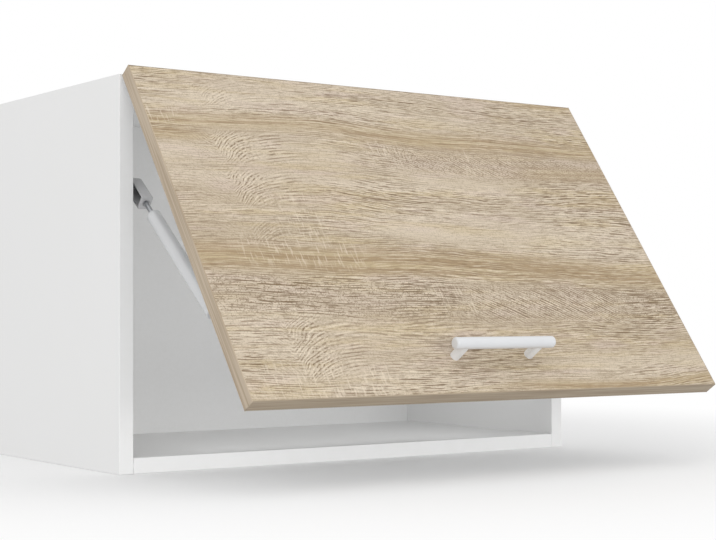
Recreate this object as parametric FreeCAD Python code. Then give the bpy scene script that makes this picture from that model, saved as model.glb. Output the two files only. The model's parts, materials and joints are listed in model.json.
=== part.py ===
import FreeCAD, Part
import math
import os

# A kitchen wall cabinet with one lift-up flap, in millimetres.
# X runs along the cabinet, -Y is the front and +Z is up. The origin is on the wall plane, under the
# middle of the bottom panel. The flap and all that it carries are modelled shut and then swung open.

# Carcass of coated chipboard with a thin hardboard back
WIDTH = 600.0
HEIGHT = 400.0
DEPTH = 294.0
BOARD = 16.0
EDGE_BAND = 1.0
BACK_BOARD = 3.0
BACK_RECESS = 10.0
GROOVE_DEPTH = 7.0
GROOVE_PLAY = 0.1
BACK_EDGE_PLAY = 0.5

# Knock-down fittings at the four corners of the carcass
FITTING_INSET = 50.0
FITTING_PITCH = 32.0
DOWEL_RADIUS = 4.0
DOWEL_IN_SIDE = 11.0
DOWEL_IN_PANEL = 19.0
DOWEL_END_PLAY = 0.8
CAM_RADIUS = 7.5
CAM_DEPTH = 12.5
CAM_FROM_END = 34.0
CAM_CAP = 0.9
CAM_BOLT_RADIUS = 3.4
CAM_BOLT_THREAD_RADIUS = 2.5
CAM_BOLT_IN_SIDE = 10.0
CAM_NECK_RADIUS = 1.8
CAM_NECK_LENGTH = 7.0
CAM_HEAD_LENGTH = 4.0
FIT_PLAY = 0.05

# Hangers in the two upper rear corners
HANGER_WIDTH = 18.0
HANGER_LENGTH = 42.0
HANGER_HEIGHT = 58.0
HANGER_WALL = 2.0
HANGER_DROP = 4.0
HANGER_ROUNDING = 3.0
HANGER_PEG_RADIUS = 5.0
HANGER_PEG_LENGTH = 10.0
HANGER_PEG_PITCH = 32.0
HANGER_CUTOUT_MARGIN = 6.0
HOOK_PLATE = 3.0
HOOK_ARM_HEIGHT = 16.0
HOOK_CLAW_DROP = 16.0
HOOK_CLAW = 2.5
HOOK_WALL_GAP = 1.5
HOOK_NUT = 11.0
HOOK_HEADROOM = 1.0
ADJUSTER_RADIUS = 3.0
ADJUSTER_HEAD_RADIUS = 4.5
ADJUSTER_HEAD = 3.0
ADJUSTER_LENGTH = 25.0
ADJUSTER_SLOT = 1.5
ADJUSTER_SLOT_SPAN = 4.0

# Flap of decor-faced chipboard, banded all round
FLAP_REVEAL = 2.0
FLAP_BOARD = 16.0
FLAP_BAND = 1.0
REST_OPENING = 35.2
FULL_OPENING = 75.0
BUMPER_RADIUS = 4.0
BUMPER_PLAY = 0.1
BUMPER_RISE = 30.0

# Two narrow leaf hinges whose knuckles are let into the corner between flap and top panel
LEAF = 0.7
LEAF_PLAY = 0.1
LEAF_LENGTH = 60.0
LEAF_HEIGHT = 13.0
LEAF_ROUNDING = 2.0
HINGE_INSET = 90.0
HINGE_PIN_RADIUS = 1.0
HINGE_PIN_PLAY = 0.05
HINGE_PIN_FIT = 0.02
KNUCKLE_RADIUS = 1.9
KNUCKLES = 5
KNUCKLE_GAP = 0.3
KNUCKLE_CLEARANCE = 0.4
LEAF_SCREW_PITCH = 22.0
LEAF_SCREW_DROP = 7.5
LEAF_SCREW_RADIUS = 1.25
LEAF_SCREW_HEAD_RADIUS = 2.4
LEAF_SCREW_LENGTH = 13.0

# Bar handle
HANDLE_PITCH = 96.0
HANDLE_LENGTH = 128.0
HANDLE_RADIUS = 6.0
HANDLE_END_ROUNDING = 2.5
HANDLE_REACH = 23.0
HANDLE_RISE = 43.0
POST_RADIUS = 5.0
HANDLE_SCREW_RADIUS = 2.0
HANDLE_SCREW_IN_POST = 8.0
HANDLE_SCREW_HEAD_RADIUS = 4.0
HANDLE_SCREW_HEAD = 2.5

# Gas struts, one beside each side panel
STRUT_OFFSET = 14.0
STRUT_PIVOT_BACK = 22.8
STRUT_PIVOT_DROP = 108.6
FLAP_PIVOT_DOWN = 347.7
FLAP_PIVOT_RISE = 9.0
TUBE_RADIUS = 7.5
TUBE_WALL = 1.2
TUBE_END_WALL = 2.0
TUBE_SHOULDER = 2.5
TUBE_CRIMP = 0.5
ROD_RADIUS = 3.0
PISTON_LENGTH = 4.0
PISTON_PLAY = 0.1
PISTON_GROOVE = 1.0
GUIDE_LENGTH = 6.5
SLIDE_PLAY = 0.05
STROKE_SPARE = 1.0
NECK_RADIUS = 2.5
NECK_LENGTH = 19.0
NECK_IN_FITTING = 8.0
FITTING_REACH = 30.5
FITTING_HALF_WIDTH = 7.4
FITTING_THICKNESS = 13.5
FITTING_WALL = 1.5
FITTING_FOOT = 11.0
FITTING_ROUNDING = 2.5
STUD_RADIUS = 3.5
STUD_FLANGE_RADIUS = 6.5
STUD_FLANGE = 2.0
STUD_GAP = 0.3
EYE_RADIUS = 7.0
EYE_WIDTH = 9.0
EYE_REACH = 14.0
EYE_SHANK_RADIUS = 5.0
EYE_GRIP = 7.0
WALL_PLATE = 2.0
WALL_PLATE_DEPTH = 34.0
WALL_PLATE_HEIGHT = 58.0
WALL_PLATE_ROUNDING = 6.0
WALL_SCREW_SPREAD = 20.0
PLATE_SCREW_RADIUS = 1.75
PLATE_SCREW_HEAD_RADIUS = 3.5
PLATE_SCREW_LENGTH = 13.0
BRACKET = 2.0
BRACKET_FOOT = 30.0
BRACKET_HEIGHT = 34.0
BRACKET_ROUNDING = 4.0
BRACKET_SCREW_SPREAD = 12.0
PIN_RADIUS = 3.0
PIN_PLAY = 0.05
PIN_SIDE_GAP = 0.4
PIN_HEAD_RADIUS = 5.0
PIN_HEAD = 1.5

# Places that follow from the sizes above
INNER_X = WIDTH / 2 - BOARD
FRONT_Y = -DEPTH
BACK_Y = -BACK_RECESS - BACK_BOARD
FLAP_GAP = 2 * LEAF + LEAF_PLAY
FLAP_REAR_Y = FRONT_Y - FLAP_GAP
FLAP_FRONT_Y = FLAP_REAR_Y - FLAP_BOARD
FLAP_HALF_WIDTH = WIDTH / 2 - FLAP_REVEAL
FLAP_TOP_Z = HEIGHT - FLAP_REVEAL
AXIS_Y = FRONT_Y - FLAP_GAP / 2
AXIS_Z = FLAP_TOP_Z
STRUT_X = INNER_X - STRUT_OFFSET

RIGHT = FreeCAD.Vector(1, 0, 0)
LEFT = FreeCAD.Vector(-1, 0, 0)
BACK = FreeCAD.Vector(0, 1, 0)
FRONT = FreeCAD.Vector(0, -1, 0)
UP = FreeCAD.Vector(0, 0, 1)
DOWN = FreeCAD.Vector(0, 0, -1)
ORIGIN = FreeCAD.Vector(0, 0, 0)


def vec(x, y, z):
    return FreeCAD.Vector(x, y, z)


def block(x_low, x_high, y_low, y_high, z_low, z_high):
    """A square-edged board between two corners."""
    return Part.makeBox(x_high - x_low, y_high - y_low, z_high - z_low, vec(x_low, y_low, z_low))


def bar(start, direction, radius, length):
    """A round bar or hole."""
    return Part.makeCylinder(radius, length, start, direction)


def turned(steps, start, direction):
    """A turned piece: steps are (distance along its axis, radius), from the axis and back to it."""
    points = [vec(radius, 0, along) for along, radius in steps]
    outline = Part.makePolygon(points + [points[0]])
    solid = Part.Face(outline).revolve(ORIGIN, UP, 360)
    solid.Placement = FreeCAD.Placement(start, FreeCAD.Rotation(UP, direction))
    return solid


def screw(start, direction, radius, head_radius, length, play=0.0):
    """A countersunk screw with its head flush at start, or its hole where play is given."""
    cone = head_radius - radius
    end = length + play
    steps = [(0, 0), (0, head_radius + play), (cone, radius + play), (end, radius + play), (end, 0)]
    return turned(steps, start, direction)


def plate(y_low, y_high, z_low, z_high, rounding, x_low, thickness):
    """A flat plate square to X with rounded corners."""
    solid = block(x_low, x_low + thickness, y_low, y_high, z_low, z_high)
    corners = [edge for edge in solid.Edges if edge.Vertexes[0].Point.x != edge.Vertexes[1].Point.x]
    return solid.makeFillet(rounding, corners)


def mirrored(shape):
    """The same piece on the other side of the cabinet."""
    return shape.mirror(ORIGIN, RIGHT)


def both_sides(shape):
    """A left-hand piece and its right-hand twin."""
    return [shape, mirrored(shape)]


def swung(shape, degrees):
    """A piece of the shut flap with the flap swung open."""
    moved = shape.copy()
    moved.rotate(vec(0, AXIS_Y, AXIS_Z), LEFT, degrees)
    return moved


def opened(shape):
    return swung(shape, REST_OPENING)


def export(name, *shapes):
    """Write one node, which may be a group of separate solids."""
    solids = [solid for shape in shapes for solid in shape.Solids]
    body = solids[0] if len(solids) == 1 else Part.makeCompound(solids)
    body.exportStep(os.path.join("parts", name + ".step"))
    print(f"{name}: {len(solids)} solid(s), {body.Volume:.1f} mm3, valid {body.isValid()}")


def export_pair(name, left_shape):
    """Write a left-hand node and its right-hand twin."""
    export("left_" + name, left_shape)
    export("right_" + name, mirrored(left_shape))


os.makedirs("parts", exist_ok=True)

# Corner fittings: two dowels and two cam locks in each of the four corner joints
fitting_depths = [FRONT_Y + FITTING_INSET, -FITTING_INSET]
dowel_depths = [FRONT_Y + FITTING_INSET + FITTING_PITCH, -FITTING_INSET - FITTING_PITCH]
panel_levels = [BOARD / 2, HEIGHT - BOARD / 2]


def dowel(y, z, play=0.0):
    """A left-hand dowel across the joint between side and panel, or its hole."""
    length = DOWEL_IN_SIDE + DOWEL_IN_PANEL
    end_play = DOWEL_END_PLAY if play else 0.0
    start = vec(-INNER_X - DOWEL_IN_SIDE - end_play, y, z)
    return bar(start, RIGHT, DOWEL_RADIUS + play, length + 2 * end_play)


def cam_bolt(y, z):
    """A left-hand bolt: its thread is in the side panel and its head in the cam."""
    shank = CAM_FROM_END - CAM_NECK_LENGTH - CAM_HEAD_LENGTH
    neck = shank + CAM_NECK_LENGTH
    head = neck + CAM_HEAD_LENGTH
    tip = -CAM_BOLT_IN_SIDE
    steps = [(tip, 0), (tip, CAM_BOLT_THREAD_RADIUS), (0, CAM_BOLT_THREAD_RADIUS), (0, CAM_BOLT_RADIUS),
             (shank, CAM_BOLT_RADIUS), (shank, CAM_NECK_RADIUS), (neck, CAM_NECK_RADIUS),
             (neck, CAM_BOLT_RADIUS), (head, CAM_BOLT_RADIUS), (head, 0)]
    return turned(steps, vec(-INNER_X, y, z), RIGHT)


def cam_bolt_holes(y, z):
    thread = bar(vec(-INNER_X, y, z), LEFT, CAM_BOLT_THREAD_RADIUS + FIT_PLAY, CAM_BOLT_IN_SIDE + FIT_PLAY)
    shank = bar(vec(-INNER_X, y, z), RIGHT, CAM_BOLT_RADIUS + FIT_PLAY, CAM_FROM_END + CAM_RADIUS / 2)
    return thread.fuse(shank)


def cam_pocket(y, level):
    """The round pocket for a cam, drilled from the hidden outer face of the panel."""
    top = level > HEIGHT / 2
    start = vec(-INNER_X + CAM_FROM_END, y, HEIGHT if top else 0.0)
    return bar(start, DOWN if top else UP, CAM_RADIUS, CAM_DEPTH)


def cam_lock(y, level):
    """A cam: a drum with a mouth for the bolt's head and a narrower slot for its neck."""
    top = level > HEIGHT / 2
    into = DOWN if top else UP
    x = -INNER_X + CAM_FROM_END
    face = vec(x, y, HEIGHT if top else 0.0) + into * (CAM_CAP + FIT_PLAY)
    drum = bar(face, into, CAM_RADIUS - FIT_PLAY, CAM_DEPTH - CAM_CAP - 2 * FIT_PLAY)
    head_room = CAM_HEAD_LENGTH + CAM_NECK_RADIUS
    mouth = bar(vec(x - head_room, y, level), RIGHT, CAM_BOLT_RADIUS + FIT_PLAY, 2 * head_room)
    slot = bar(vec(x - 2 * CAM_RADIUS, y, level), RIGHT, CAM_NECK_RADIUS + 2 * FIT_PLAY, 2 * CAM_RADIUS)
    driver = bar(face, into, CAM_NECK_RADIUS, CAM_NECK_RADIUS)
    return drum.cut(mouth).cut(slot).cut(driver)


def cam_cap(y, level):
    top = level > HEIGHT / 2
    face = vec(-INNER_X + CAM_FROM_END, y, HEIGHT if top else 0.0)
    return bar(face, DOWN if top else UP, CAM_RADIUS - FIT_PLAY, CAM_CAP)


joint_places = [(y, z) for z in panel_levels for y in fitting_depths]
dowel_places = [(y, z) for z in panel_levels for y in dowel_depths]
joint_dowels = [twin for y, z in dowel_places for twin in both_sides(dowel(y, z))]
cam_bolts = [twin for y, z in joint_places for twin in both_sides(cam_bolt(y, z))]
cam_locks = [twin for y, z in joint_places for twin in both_sides(cam_lock(y, z))]
cam_caps = [twin for y, z in joint_places for twin in both_sides(cam_cap(y, z))]
corner_holes = [dowel(y, z, FIT_PLAY) for y, z in dowel_places]
corner_holes += [cam_bolt_holes(y, z) for y, z in joint_places]
corner_holes += [cam_pocket(y, z) for y, z in joint_places]

# Hangers: a moulded housing on pegs in the side panel, a steel hook through the back, two adjusters
hanger_top = HEIGHT - BOARD - HANGER_DROP
hanger_rear = BACK_Y - GROOVE_PLAY
hanger_front = hanger_rear - HANGER_LENGTH
hanger_mid_x = -INNER_X + HANGER_WIDTH / 2
hanger_mid_z = hanger_top - HANGER_HEIGHT / 2
peg_y = hanger_rear - HANGER_LENGTH / 2
peg_levels = [hanger_mid_z - HANGER_PEG_PITCH / 2, hanger_mid_z + HANGER_PEG_PITCH / 2]
hook_top = hanger_top - HANGER_WALL - HOOK_HEADROOM
hook_under = hook_top - HOOK_ARM_HEIGHT
adjuster_levels = [hook_top - HOOK_NUT / 2, hanger_top - HANGER_HEIGHT + HANGER_WALL + HOOK_NUT / 2]


def hanger_housing():
    """A box open to the wall, with rounded front corners, two driver holes and two pegs."""
    low = hanger_top - HANGER_HEIGHT
    outer = block(-INNER_X, -INNER_X + HANGER_WIDTH, hanger_front, hanger_rear, low, hanger_top)
    inner_side = [edge for edge in outer.Edges
                  if all(abs(v.Point.y - hanger_front) < FIT_PLAY for v in edge.Vertexes)
                  and all(v.Point.x > -INNER_X + FIT_PLAY for v in edge.Vertexes)]
    outer = outer.makeFillet(HANGER_ROUNDING, inner_side)
    hollow = block(-INNER_X + HANGER_WALL, -INNER_X + HANGER_WIDTH - HANGER_WALL,
                   hanger_front + HANGER_WALL, hanger_rear, low + HANGER_WALL, hanger_top - HANGER_WALL)
    shell = outer.cut(hollow)
    for z in adjuster_levels:
        driver_hole = bar(vec(hanger_mid_x, hanger_front, z), BACK, ADJUSTER_RADIUS + FIT_PLAY, HANGER_WALL)
        shell = shell.cut(driver_hole)
    for z in peg_levels:
        root = vec(-INNER_X + HANGER_WALL, peg_y, z)
        peg = bar(root, LEFT, HANGER_PEG_RADIUS - FIT_PLAY, HANGER_PEG_LENGTH + HANGER_WALL)
        shell = shell.fuse(peg)
    return shell.removeSplitter()


def hanger_peg_holes():
    depth = HANGER_PEG_LENGTH + FIT_PLAY
    return [bar(vec(-INNER_X, peg_y, z), LEFT, HANGER_PEG_RADIUS, depth) for z in peg_levels]


def hanger_hook():
    """A hook cut from plate: an arm out through the back, a claw down behind it, a nut on its inner end."""
    inner_end = hanger_front + HANGER_WALL + ADJUSTER_HEAD + FIT_PLAY
    claw_rear = -HOOK_WALL_GAP
    claw_front = claw_rear - HOOK_CLAW
    tail = adjuster_levels[1] - HOOK_NUT / 2 + FIT_PLAY
    claw_tip = hook_under - HOOK_CLAW_DROP
    points = [(inner_end, hook_top), (claw_rear, hook_top), (claw_rear, claw_tip), (claw_front, claw_tip),
              (claw_front, hook_under), (inner_end + HOOK_NUT, hook_under), (inner_end + HOOK_NUT, tail),
              (inner_end, tail)]
    corners = [vec(hanger_mid_x - HOOK_PLATE / 2, y, z) for y, z in points]
    hook = Part.Face(Part.makePolygon(corners + [corners[0]])).extrude(RIGHT * HOOK_PLATE)
    for z in adjuster_levels:
        nut = block(hanger_mid_x - HOOK_NUT / 2, hanger_mid_x + HOOK_NUT / 2,
                    inner_end, inner_end + HOOK_NUT,
                    max(z - HOOK_NUT / 2, tail), min(z + HOOK_NUT / 2, hook_top))
        hook = hook.fuse(nut)
    for z in adjuster_levels:
        thread = bar(vec(hanger_mid_x, inner_end, z), BACK, ADJUSTER_RADIUS + FIT_PLAY, ADJUSTER_LENGTH)
        hook = hook.cut(thread)
    return hook.removeSplitter()


def adjuster(z):
    """An adjusting screw: held in the front wall by its collar and threaded through the hook's nut."""
    collar = HANGER_WALL + FIT_PLAY
    collar_end = HANGER_WALL + ADJUSTER_HEAD
    steps = [(0, 0), (0, ADJUSTER_RADIUS), (collar, ADJUSTER_RADIUS), (collar, ADJUSTER_HEAD_RADIUS),
             (collar_end, ADJUSTER_HEAD_RADIUS), (collar_end, ADJUSTER_RADIUS),
             (ADJUSTER_LENGTH, ADJUSTER_RADIUS), (ADJUSTER_LENGTH, 0)]
    body = turned(steps, vec(hanger_mid_x, hanger_front, z), BACK)
    cross = block(hanger_mid_x - ADJUSTER_SLOT / 2, hanger_mid_x + ADJUSTER_SLOT / 2,
                  hanger_front, hanger_front + ADJUSTER_SLOT,
                  z - ADJUSTER_SLOT_SPAN / 2, z + ADJUSTER_SLOT_SPAN / 2)
    turned_cross = cross.copy()
    turned_cross.rotate(vec(hanger_mid_x, hanger_front, z), BACK, 90)
    return body.cut(cross).cut(turned_cross)


adjusters = [twin for z in adjuster_levels for twin in both_sides(adjuster(z))]

# Hinges: leaves of thin steel strip, rolled into interleaved knuckles round a pin
hinge_x = -FLAP_HALF_WIDTH + HINGE_INSET
leaf_low_x = hinge_x - LEAF_LENGTH / 2
knuckle_pitch = LEAF_LENGTH / KNUCKLES
leaf_screw_z = AXIS_Z - LEAF_SCREW_DROP
leaf_screw_places = [hinge_x + step * LEAF_SCREW_PITCH for step in (-1, 0, 1)]


def axis_bar(x_low, length, radius):
    """A round bar on the hinge axis."""
    return bar(vec(x_low, AXIS_Y, AXIS_Z), RIGHT, radius, length)


def hinge_leaf(y_low, first, bore):
    """One leaf: a strip against its board, with every second knuckle, counted from first."""
    strip = block(leaf_low_x, leaf_low_x + LEAF_LENGTH, y_low, y_low + LEAF,
                  AXIS_Z - LEAF_HEIGHT, AXIS_Z - HINGE_PIN_RADIUS)
    lower = [edge for edge in strip.Edges
             if all(abs(v.Point.z - AXIS_Z + LEAF_HEIGHT) < FIT_PLAY for v in edge.Vertexes)
             and edge.Vertexes[0].Point.y != edge.Vertexes[1].Point.y]
    leaf = strip.makeFillet(LEAF_ROUNDING, lower)
    for place in range(KNUCKLES):
        start = leaf_low_x + place * knuckle_pitch
        if place % 2 == first:
            knuckle = axis_bar(start + KNUCKLE_GAP / 2, knuckle_pitch - KNUCKLE_GAP, KNUCKLE_RADIUS)
            leaf = leaf.fuse(knuckle)
        else:
            room = axis_bar(start - KNUCKLE_GAP / 2, knuckle_pitch + KNUCKLE_GAP,
                            KNUCKLE_RADIUS + KNUCKLE_GAP)
            leaf = leaf.cut(room)
    return leaf.cut(axis_bar(leaf_low_x, LEAF_LENGTH, bore)).removeSplitter()


def leaf_screws(y_face, direction, play=0.0):
    return [screw(vec(x, y_face, leaf_screw_z), direction, LEAF_SCREW_RADIUS, LEAF_SCREW_HEAD_RADIUS,
                  LEAF_SCREW_LENGTH, play) for x in leaf_screw_places]


fixed_leaf_face = FRONT_Y - LEAF
flap_leaf_face = FLAP_REAR_Y + LEAF
fixed_leaf = hinge_leaf(fixed_leaf_face, 0, HINGE_PIN_RADIUS + HINGE_PIN_FIT)
fixed_leaf = fixed_leaf.cut(leaf_screws(fixed_leaf_face, BACK, FIT_PLAY))
flap_leaf = hinge_leaf(FLAP_REAR_Y, 1, HINGE_PIN_RADIUS + HINGE_PIN_PLAY)
flap_leaf = flap_leaf.cut(leaf_screws(flap_leaf_face, FRONT, FIT_PLAY))
hinge_pin = axis_bar(leaf_low_x + KNUCKLE_GAP / 2, LEAF_LENGTH - KNUCKLE_GAP, HINGE_PIN_RADIUS)
knuckle_room = axis_bar(leaf_low_x - KNUCKLE_CLEARANCE, LEAF_LENGTH + 2 * KNUCKLE_CLEARANCE,
                        KNUCKLE_RADIUS + KNUCKLE_CLEARANCE)
fixed_leaf_holes = leaf_screws(fixed_leaf_face, BACK, FIT_PLAY) + [knuckle_room]
flap_leaf_holes = leaf_screws(flap_leaf_face, FRONT, FIT_PLAY) + [knuckle_room]

# Strut ends: where each strut turns on the side panel and on the flap
wall_pivot = vec(-STRUT_X, FRONT_Y + STRUT_PIVOT_BACK, HEIGHT - STRUT_PIVOT_DROP)
flap_pivot_shut = vec(-STRUT_X, FLAP_REAR_Y + FLAP_PIVOT_RISE, FLAP_TOP_Z - FLAP_PIVOT_DOWN)


def strut_length(degrees):
    """Distance between the two pivots with the flap open by so many degrees."""
    pivot = swung(Part.Vertex(flap_pivot_shut), degrees).Point
    return (wall_pivot - pivot).Length


rest_length = strut_length(REST_OPENING)
full_length = strut_length(FULL_OPENING)
slide_per_degree = (full_length - rest_length) / (FULL_OPENING - REST_OPENING)
shut_length = rest_length - slide_per_degree * REST_OPENING
stroke = full_length - shut_length
tube_top = rest_length - FITTING_REACH - NECK_LENGTH
tube_length = stroke + TUBE_END_WALL + GUIDE_LENGTH + PISTON_LENGTH + 2 * STROKE_SPARE
tube_mouth = tube_top - tube_length
piston_top = shut_length - FITTING_REACH - NECK_LENGTH - TUBE_END_WALL - STROKE_SPARE
bore_radius = TUBE_RADIUS - TUBE_WALL

flap_pivot = opened(Part.Vertex(flap_pivot_shut)).Point
strut_place = FreeCAD.Placement(flap_pivot, FreeCAD.Rotation(UP, wall_pivot - flap_pivot))


def along_strut(shape):
    """A piece modelled upright with the flap pivot at the origin, laid along the strut."""
    moved = shape.copy()
    moved.Placement = strut_place.multiply(shape.Placement)
    return moved


def strut_eye():
    """The rod's lower end: a ring round the flap pin with a shank that grips the rod."""
    ring = bar(vec(-EYE_WIDTH / 2, 0, 0), RIGHT, EYE_RADIUS, EYE_WIDTH)
    shank = bar(ORIGIN, UP, EYE_SHANK_RADIUS, EYE_REACH)
    flats = block(-EYE_WIDTH / 2, EYE_WIDTH / 2, -EYE_RADIUS, EYE_RADIUS, 0, EYE_REACH)
    pin_hole = bar(vec(-EYE_WIDTH / 2, 0, 0), RIGHT, PIN_RADIUS + PIN_PLAY, EYE_WIDTH)
    rod_hole = bar(vec(0, 0, EYE_REACH - EYE_GRIP), UP, ROD_RADIUS + FIT_PLAY, EYE_GRIP)
    return ring.fuse(shank.common(flats)).cut([pin_hole, rod_hole]).removeSplitter()


def strut_rod():
    low = EYE_REACH - EYE_GRIP
    return bar(vec(0, 0, low), UP, ROD_RADIUS, piston_top - PISTON_LENGTH - low)


def strut_piston():
    """The piston: a disc with a groove for its seal."""
    radius = bore_radius - PISTON_PLAY
    inner = radius - PISTON_GROOVE
    groove_low = (PISTON_LENGTH - PISTON_GROOVE) / 2
    groove_high = groove_low + PISTON_GROOVE
    steps = [(0, 0), (0, radius), (groove_low, radius), (groove_low, inner), (groove_high, inner),
             (groove_high, radius), (PISTON_LENGTH, radius), (PISTON_LENGTH, 0)]
    return turned(steps, vec(0, 0, piston_top - PISTON_LENGTH), UP)


def strut_tube():
    """The pressure tube: closed at the top with a rounded shoulder, rolled in a little at its mouth
    and crimped all round just above the rod guide."""
    steps = [(0, bore_radius), (0, TUBE_RADIUS - TUBE_WALL / 2), (TUBE_WALL, TUBE_RADIUS),
             (GUIDE_LENGTH, TUBE_RADIUS), (GUIDE_LENGTH + TUBE_WALL, TUBE_RADIUS - TUBE_CRIMP),
             (GUIDE_LENGTH + 2 * TUBE_WALL, TUBE_RADIUS), (tube_length, TUBE_RADIUS), (tube_length, 0),
             (tube_length - TUBE_END_WALL, 0), (tube_length - TUBE_END_WALL, bore_radius)]
    tube = turned(steps, vec(0, 0, tube_mouth), UP)
    top_edges = [edge for edge in tube.Edges if abs(edge.CenterOfMass.z - tube_top) < FIT_PLAY]
    rim = [edge for edge in top_edges if edge.Length > TUBE_RADIUS]
    return tube.makeFillet(TUBE_SHOULDER, rim)


def strut_guide():
    """The ring in the tube's mouth that seals and guides the rod."""
    ring = bar(vec(0, 0, tube_mouth), UP, bore_radius - HINGE_PIN_FIT, GUIDE_LENGTH)
    return ring.cut(bar(vec(0, 0, tube_mouth), UP, ROD_RADIUS + SLIDE_PLAY, GUIDE_LENGTH))


def strut_neck():
    return bar(vec(0, 0, tube_top), UP, NECK_RADIUS, NECK_LENGTH + NECK_IN_FITTING)


def strut_top_fitting():
    """The moulded upper end: a round-ended block, hollow towards the side panel, screwed on the neck."""
    low = rest_length - FITTING_REACH
    half = FITTING_HALF_WIDTH
    left = -FITTING_THICKNESS / 2

    def outline(inset, foot):
        crown = Part.Arc(vec(left, -half + inset, rest_length), vec(left, 0, rest_length + half - inset),
                         vec(left, half - inset, rest_length)).toShape()
        sides = Part.makePolygon([vec(left, half - inset, rest_length), vec(left, half - inset, foot),
                                  vec(left, -half + inset, foot), vec(left, -half + inset, rest_length)])
        return Part.Face(Part.Wire([crown] + sides.Edges))

    solid = outline(0.0, low).extrude(RIGHT * FITTING_THICKNESS)
    far_rim = [edge for edge in solid.Edges if all(abs(v.Point.x + left) < FIT_PLAY for v in edge.Vertexes)]
    solid = solid.makeFillet(FITTING_ROUNDING, far_rim)
    pocket = outline(FITTING_WALL, low + FITTING_FOOT).extrude(RIGHT * (FITTING_THICKNESS - FITTING_WALL))
    neck_hole = bar(vec(0, 0, low), UP, NECK_RADIUS + FIT_PLAY, NECK_IN_FITTING + FIT_PLAY)
    mouth_steps = [(0, 0), (0, NECK_RADIUS + FITTING_WALL), (FITTING_WALL, NECK_RADIUS), (FITTING_WALL, 0)]
    mouth = turned(mouth_steps, vec(0, 0, low), UP)
    stud_hole = bar(vec(-left - FITTING_WALL, 0, rest_length), RIGHT, STUD_RADIUS + FIT_PLAY, FITTING_WALL)
    return solid.cut([pocket, neck_hole, mouth, stud_hole]).removeSplitter()


def strut_top_stud():
    """The pivot stud of the upper end, with a round foot that runs on the wall plate."""
    foot = -STRUT_OFFSET + WALL_PLATE + STUD_GAP
    steps = [(0, 0), (0, STUD_FLANGE_RADIUS), (STUD_FLANGE, STUD_FLANGE_RADIUS), (STUD_FLANGE, STUD_RADIUS),
             (FITTING_THICKNESS / 2 - foot, STUD_RADIUS), (FITTING_THICKNESS / 2 - foot, 0)]
    return turned(steps, vec(foot, 0, rest_length), RIGHT)


def wall_plate():
    """The steel plate on the side panel that the stud is held on."""
    solid = plate(wall_pivot.y - WALL_PLATE_DEPTH / 2, wall_pivot.y + WALL_PLATE_DEPTH / 2,
                  wall_pivot.z - WALL_PLATE_HEIGHT / 2, wall_pivot.z + WALL_PLATE_HEIGHT / 2,
                  WALL_PLATE_ROUNDING, -INNER_X, WALL_PLATE)
    return solid.cut(wall_plate_screws(FIT_PLAY))


def wall_plate_screws(play=0.0):
    """Three screws: one above the pivot and two below it."""
    side_step = WALL_PLATE_DEPTH / 2 - WALL_PLATE_ROUNDING
    places = [(0, WALL_SCREW_SPREAD), (-side_step, -WALL_SCREW_SPREAD), (side_step, -WALL_SCREW_SPREAD)]
    return [screw(vec(-INNER_X + WALL_PLATE, wall_pivot.y + y, wall_pivot.z + z), LEFT, PLATE_SCREW_RADIUS,
                  PLATE_SCREW_HEAD_RADIUS, PLATE_SCREW_LENGTH, play) for y, z in places]


# The flap's bracket stands beside the strut's eye, on the side away from the side panel
ear_x = -STRUT_X + EYE_WIDTH / 2 + PIN_SIDE_GAP


def flap_bracket():
    """An angle bent from plate: a foot screwed to the flap and a round-ended ear for the pin."""
    low = flap_pivot_shut.z - BRACKET_HEIGHT / 2
    foot = block(ear_x, ear_x + BRACKET_FOOT, FLAP_REAR_Y, FLAP_REAR_Y + BRACKET, low, low + BRACKET_HEIGHT)
    tips = [edge for edge in foot.Edges
            if all(v.Point.x > ear_x + BRACKET for v in edge.Vertexes)
            and edge.Vertexes[0].Point.y != edge.Vertexes[1].Point.y]
    foot = foot.makeFillet(BRACKET_ROUNDING, tips)
    crown_y = FLAP_REAR_Y + FLAP_PIVOT_RISE
    ear_half = EYE_RADIUS
    base_low = vec(ear_x, FLAP_REAR_Y, low)
    base_high = vec(ear_x, FLAP_REAR_Y, low + BRACKET_HEIGHT)
    tip_low = vec(ear_x, crown_y, flap_pivot_shut.z - ear_half)
    tip_high = vec(ear_x, crown_y, flap_pivot_shut.z + ear_half)
    crown = Part.Arc(tip_low, vec(ear_x, crown_y + ear_half, flap_pivot_shut.z), tip_high).toShape()
    sides = Part.makePolygon([tip_high, base_high, base_low, tip_low])
    ear = Part.Face(Part.Wire([crown] + sides.Edges)).extrude(RIGHT * BRACKET)
    pin_hole = bar(vec(ear_x, flap_pivot_shut.y, flap_pivot_shut.z), RIGHT, PIN_RADIUS + FIT_PLAY, BRACKET)
    return foot.fuse(ear).cut([pin_hole] + bracket_screws(FIT_PLAY)).removeSplitter()


def bracket_screws(play=0.0):
    x = ear_x + BRACKET_FOOT / 2 + BRACKET
    levels = [flap_pivot_shut.z - BRACKET_SCREW_SPREAD, flap_pivot_shut.z + BRACKET_SCREW_SPREAD]
    return [screw(vec(x, FLAP_REAR_Y + BRACKET, z), FRONT, PLATE_SCREW_RADIUS, PLATE_SCREW_HEAD_RADIUS,
                  PLATE_SCREW_LENGTH, play) for z in levels]


def flap_pin():
    """The pin through the eye, headed on the free side and riveted flush in the bracket's ear."""
    head_end = -STRUT_X - EYE_WIDTH / 2 - PIN_SIDE_GAP - PIN_HEAD
    length = ear_x + BRACKET - head_end
    steps = [(0, 0), (0, PIN_HEAD_RADIUS), (PIN_HEAD, PIN_HEAD_RADIUS), (PIN_HEAD, PIN_RADIUS),
             (length, PIN_RADIUS), (length, 0)]
    return turned(steps, vec(head_end, flap_pivot_shut.y, flap_pivot_shut.z), RIGHT)


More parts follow.
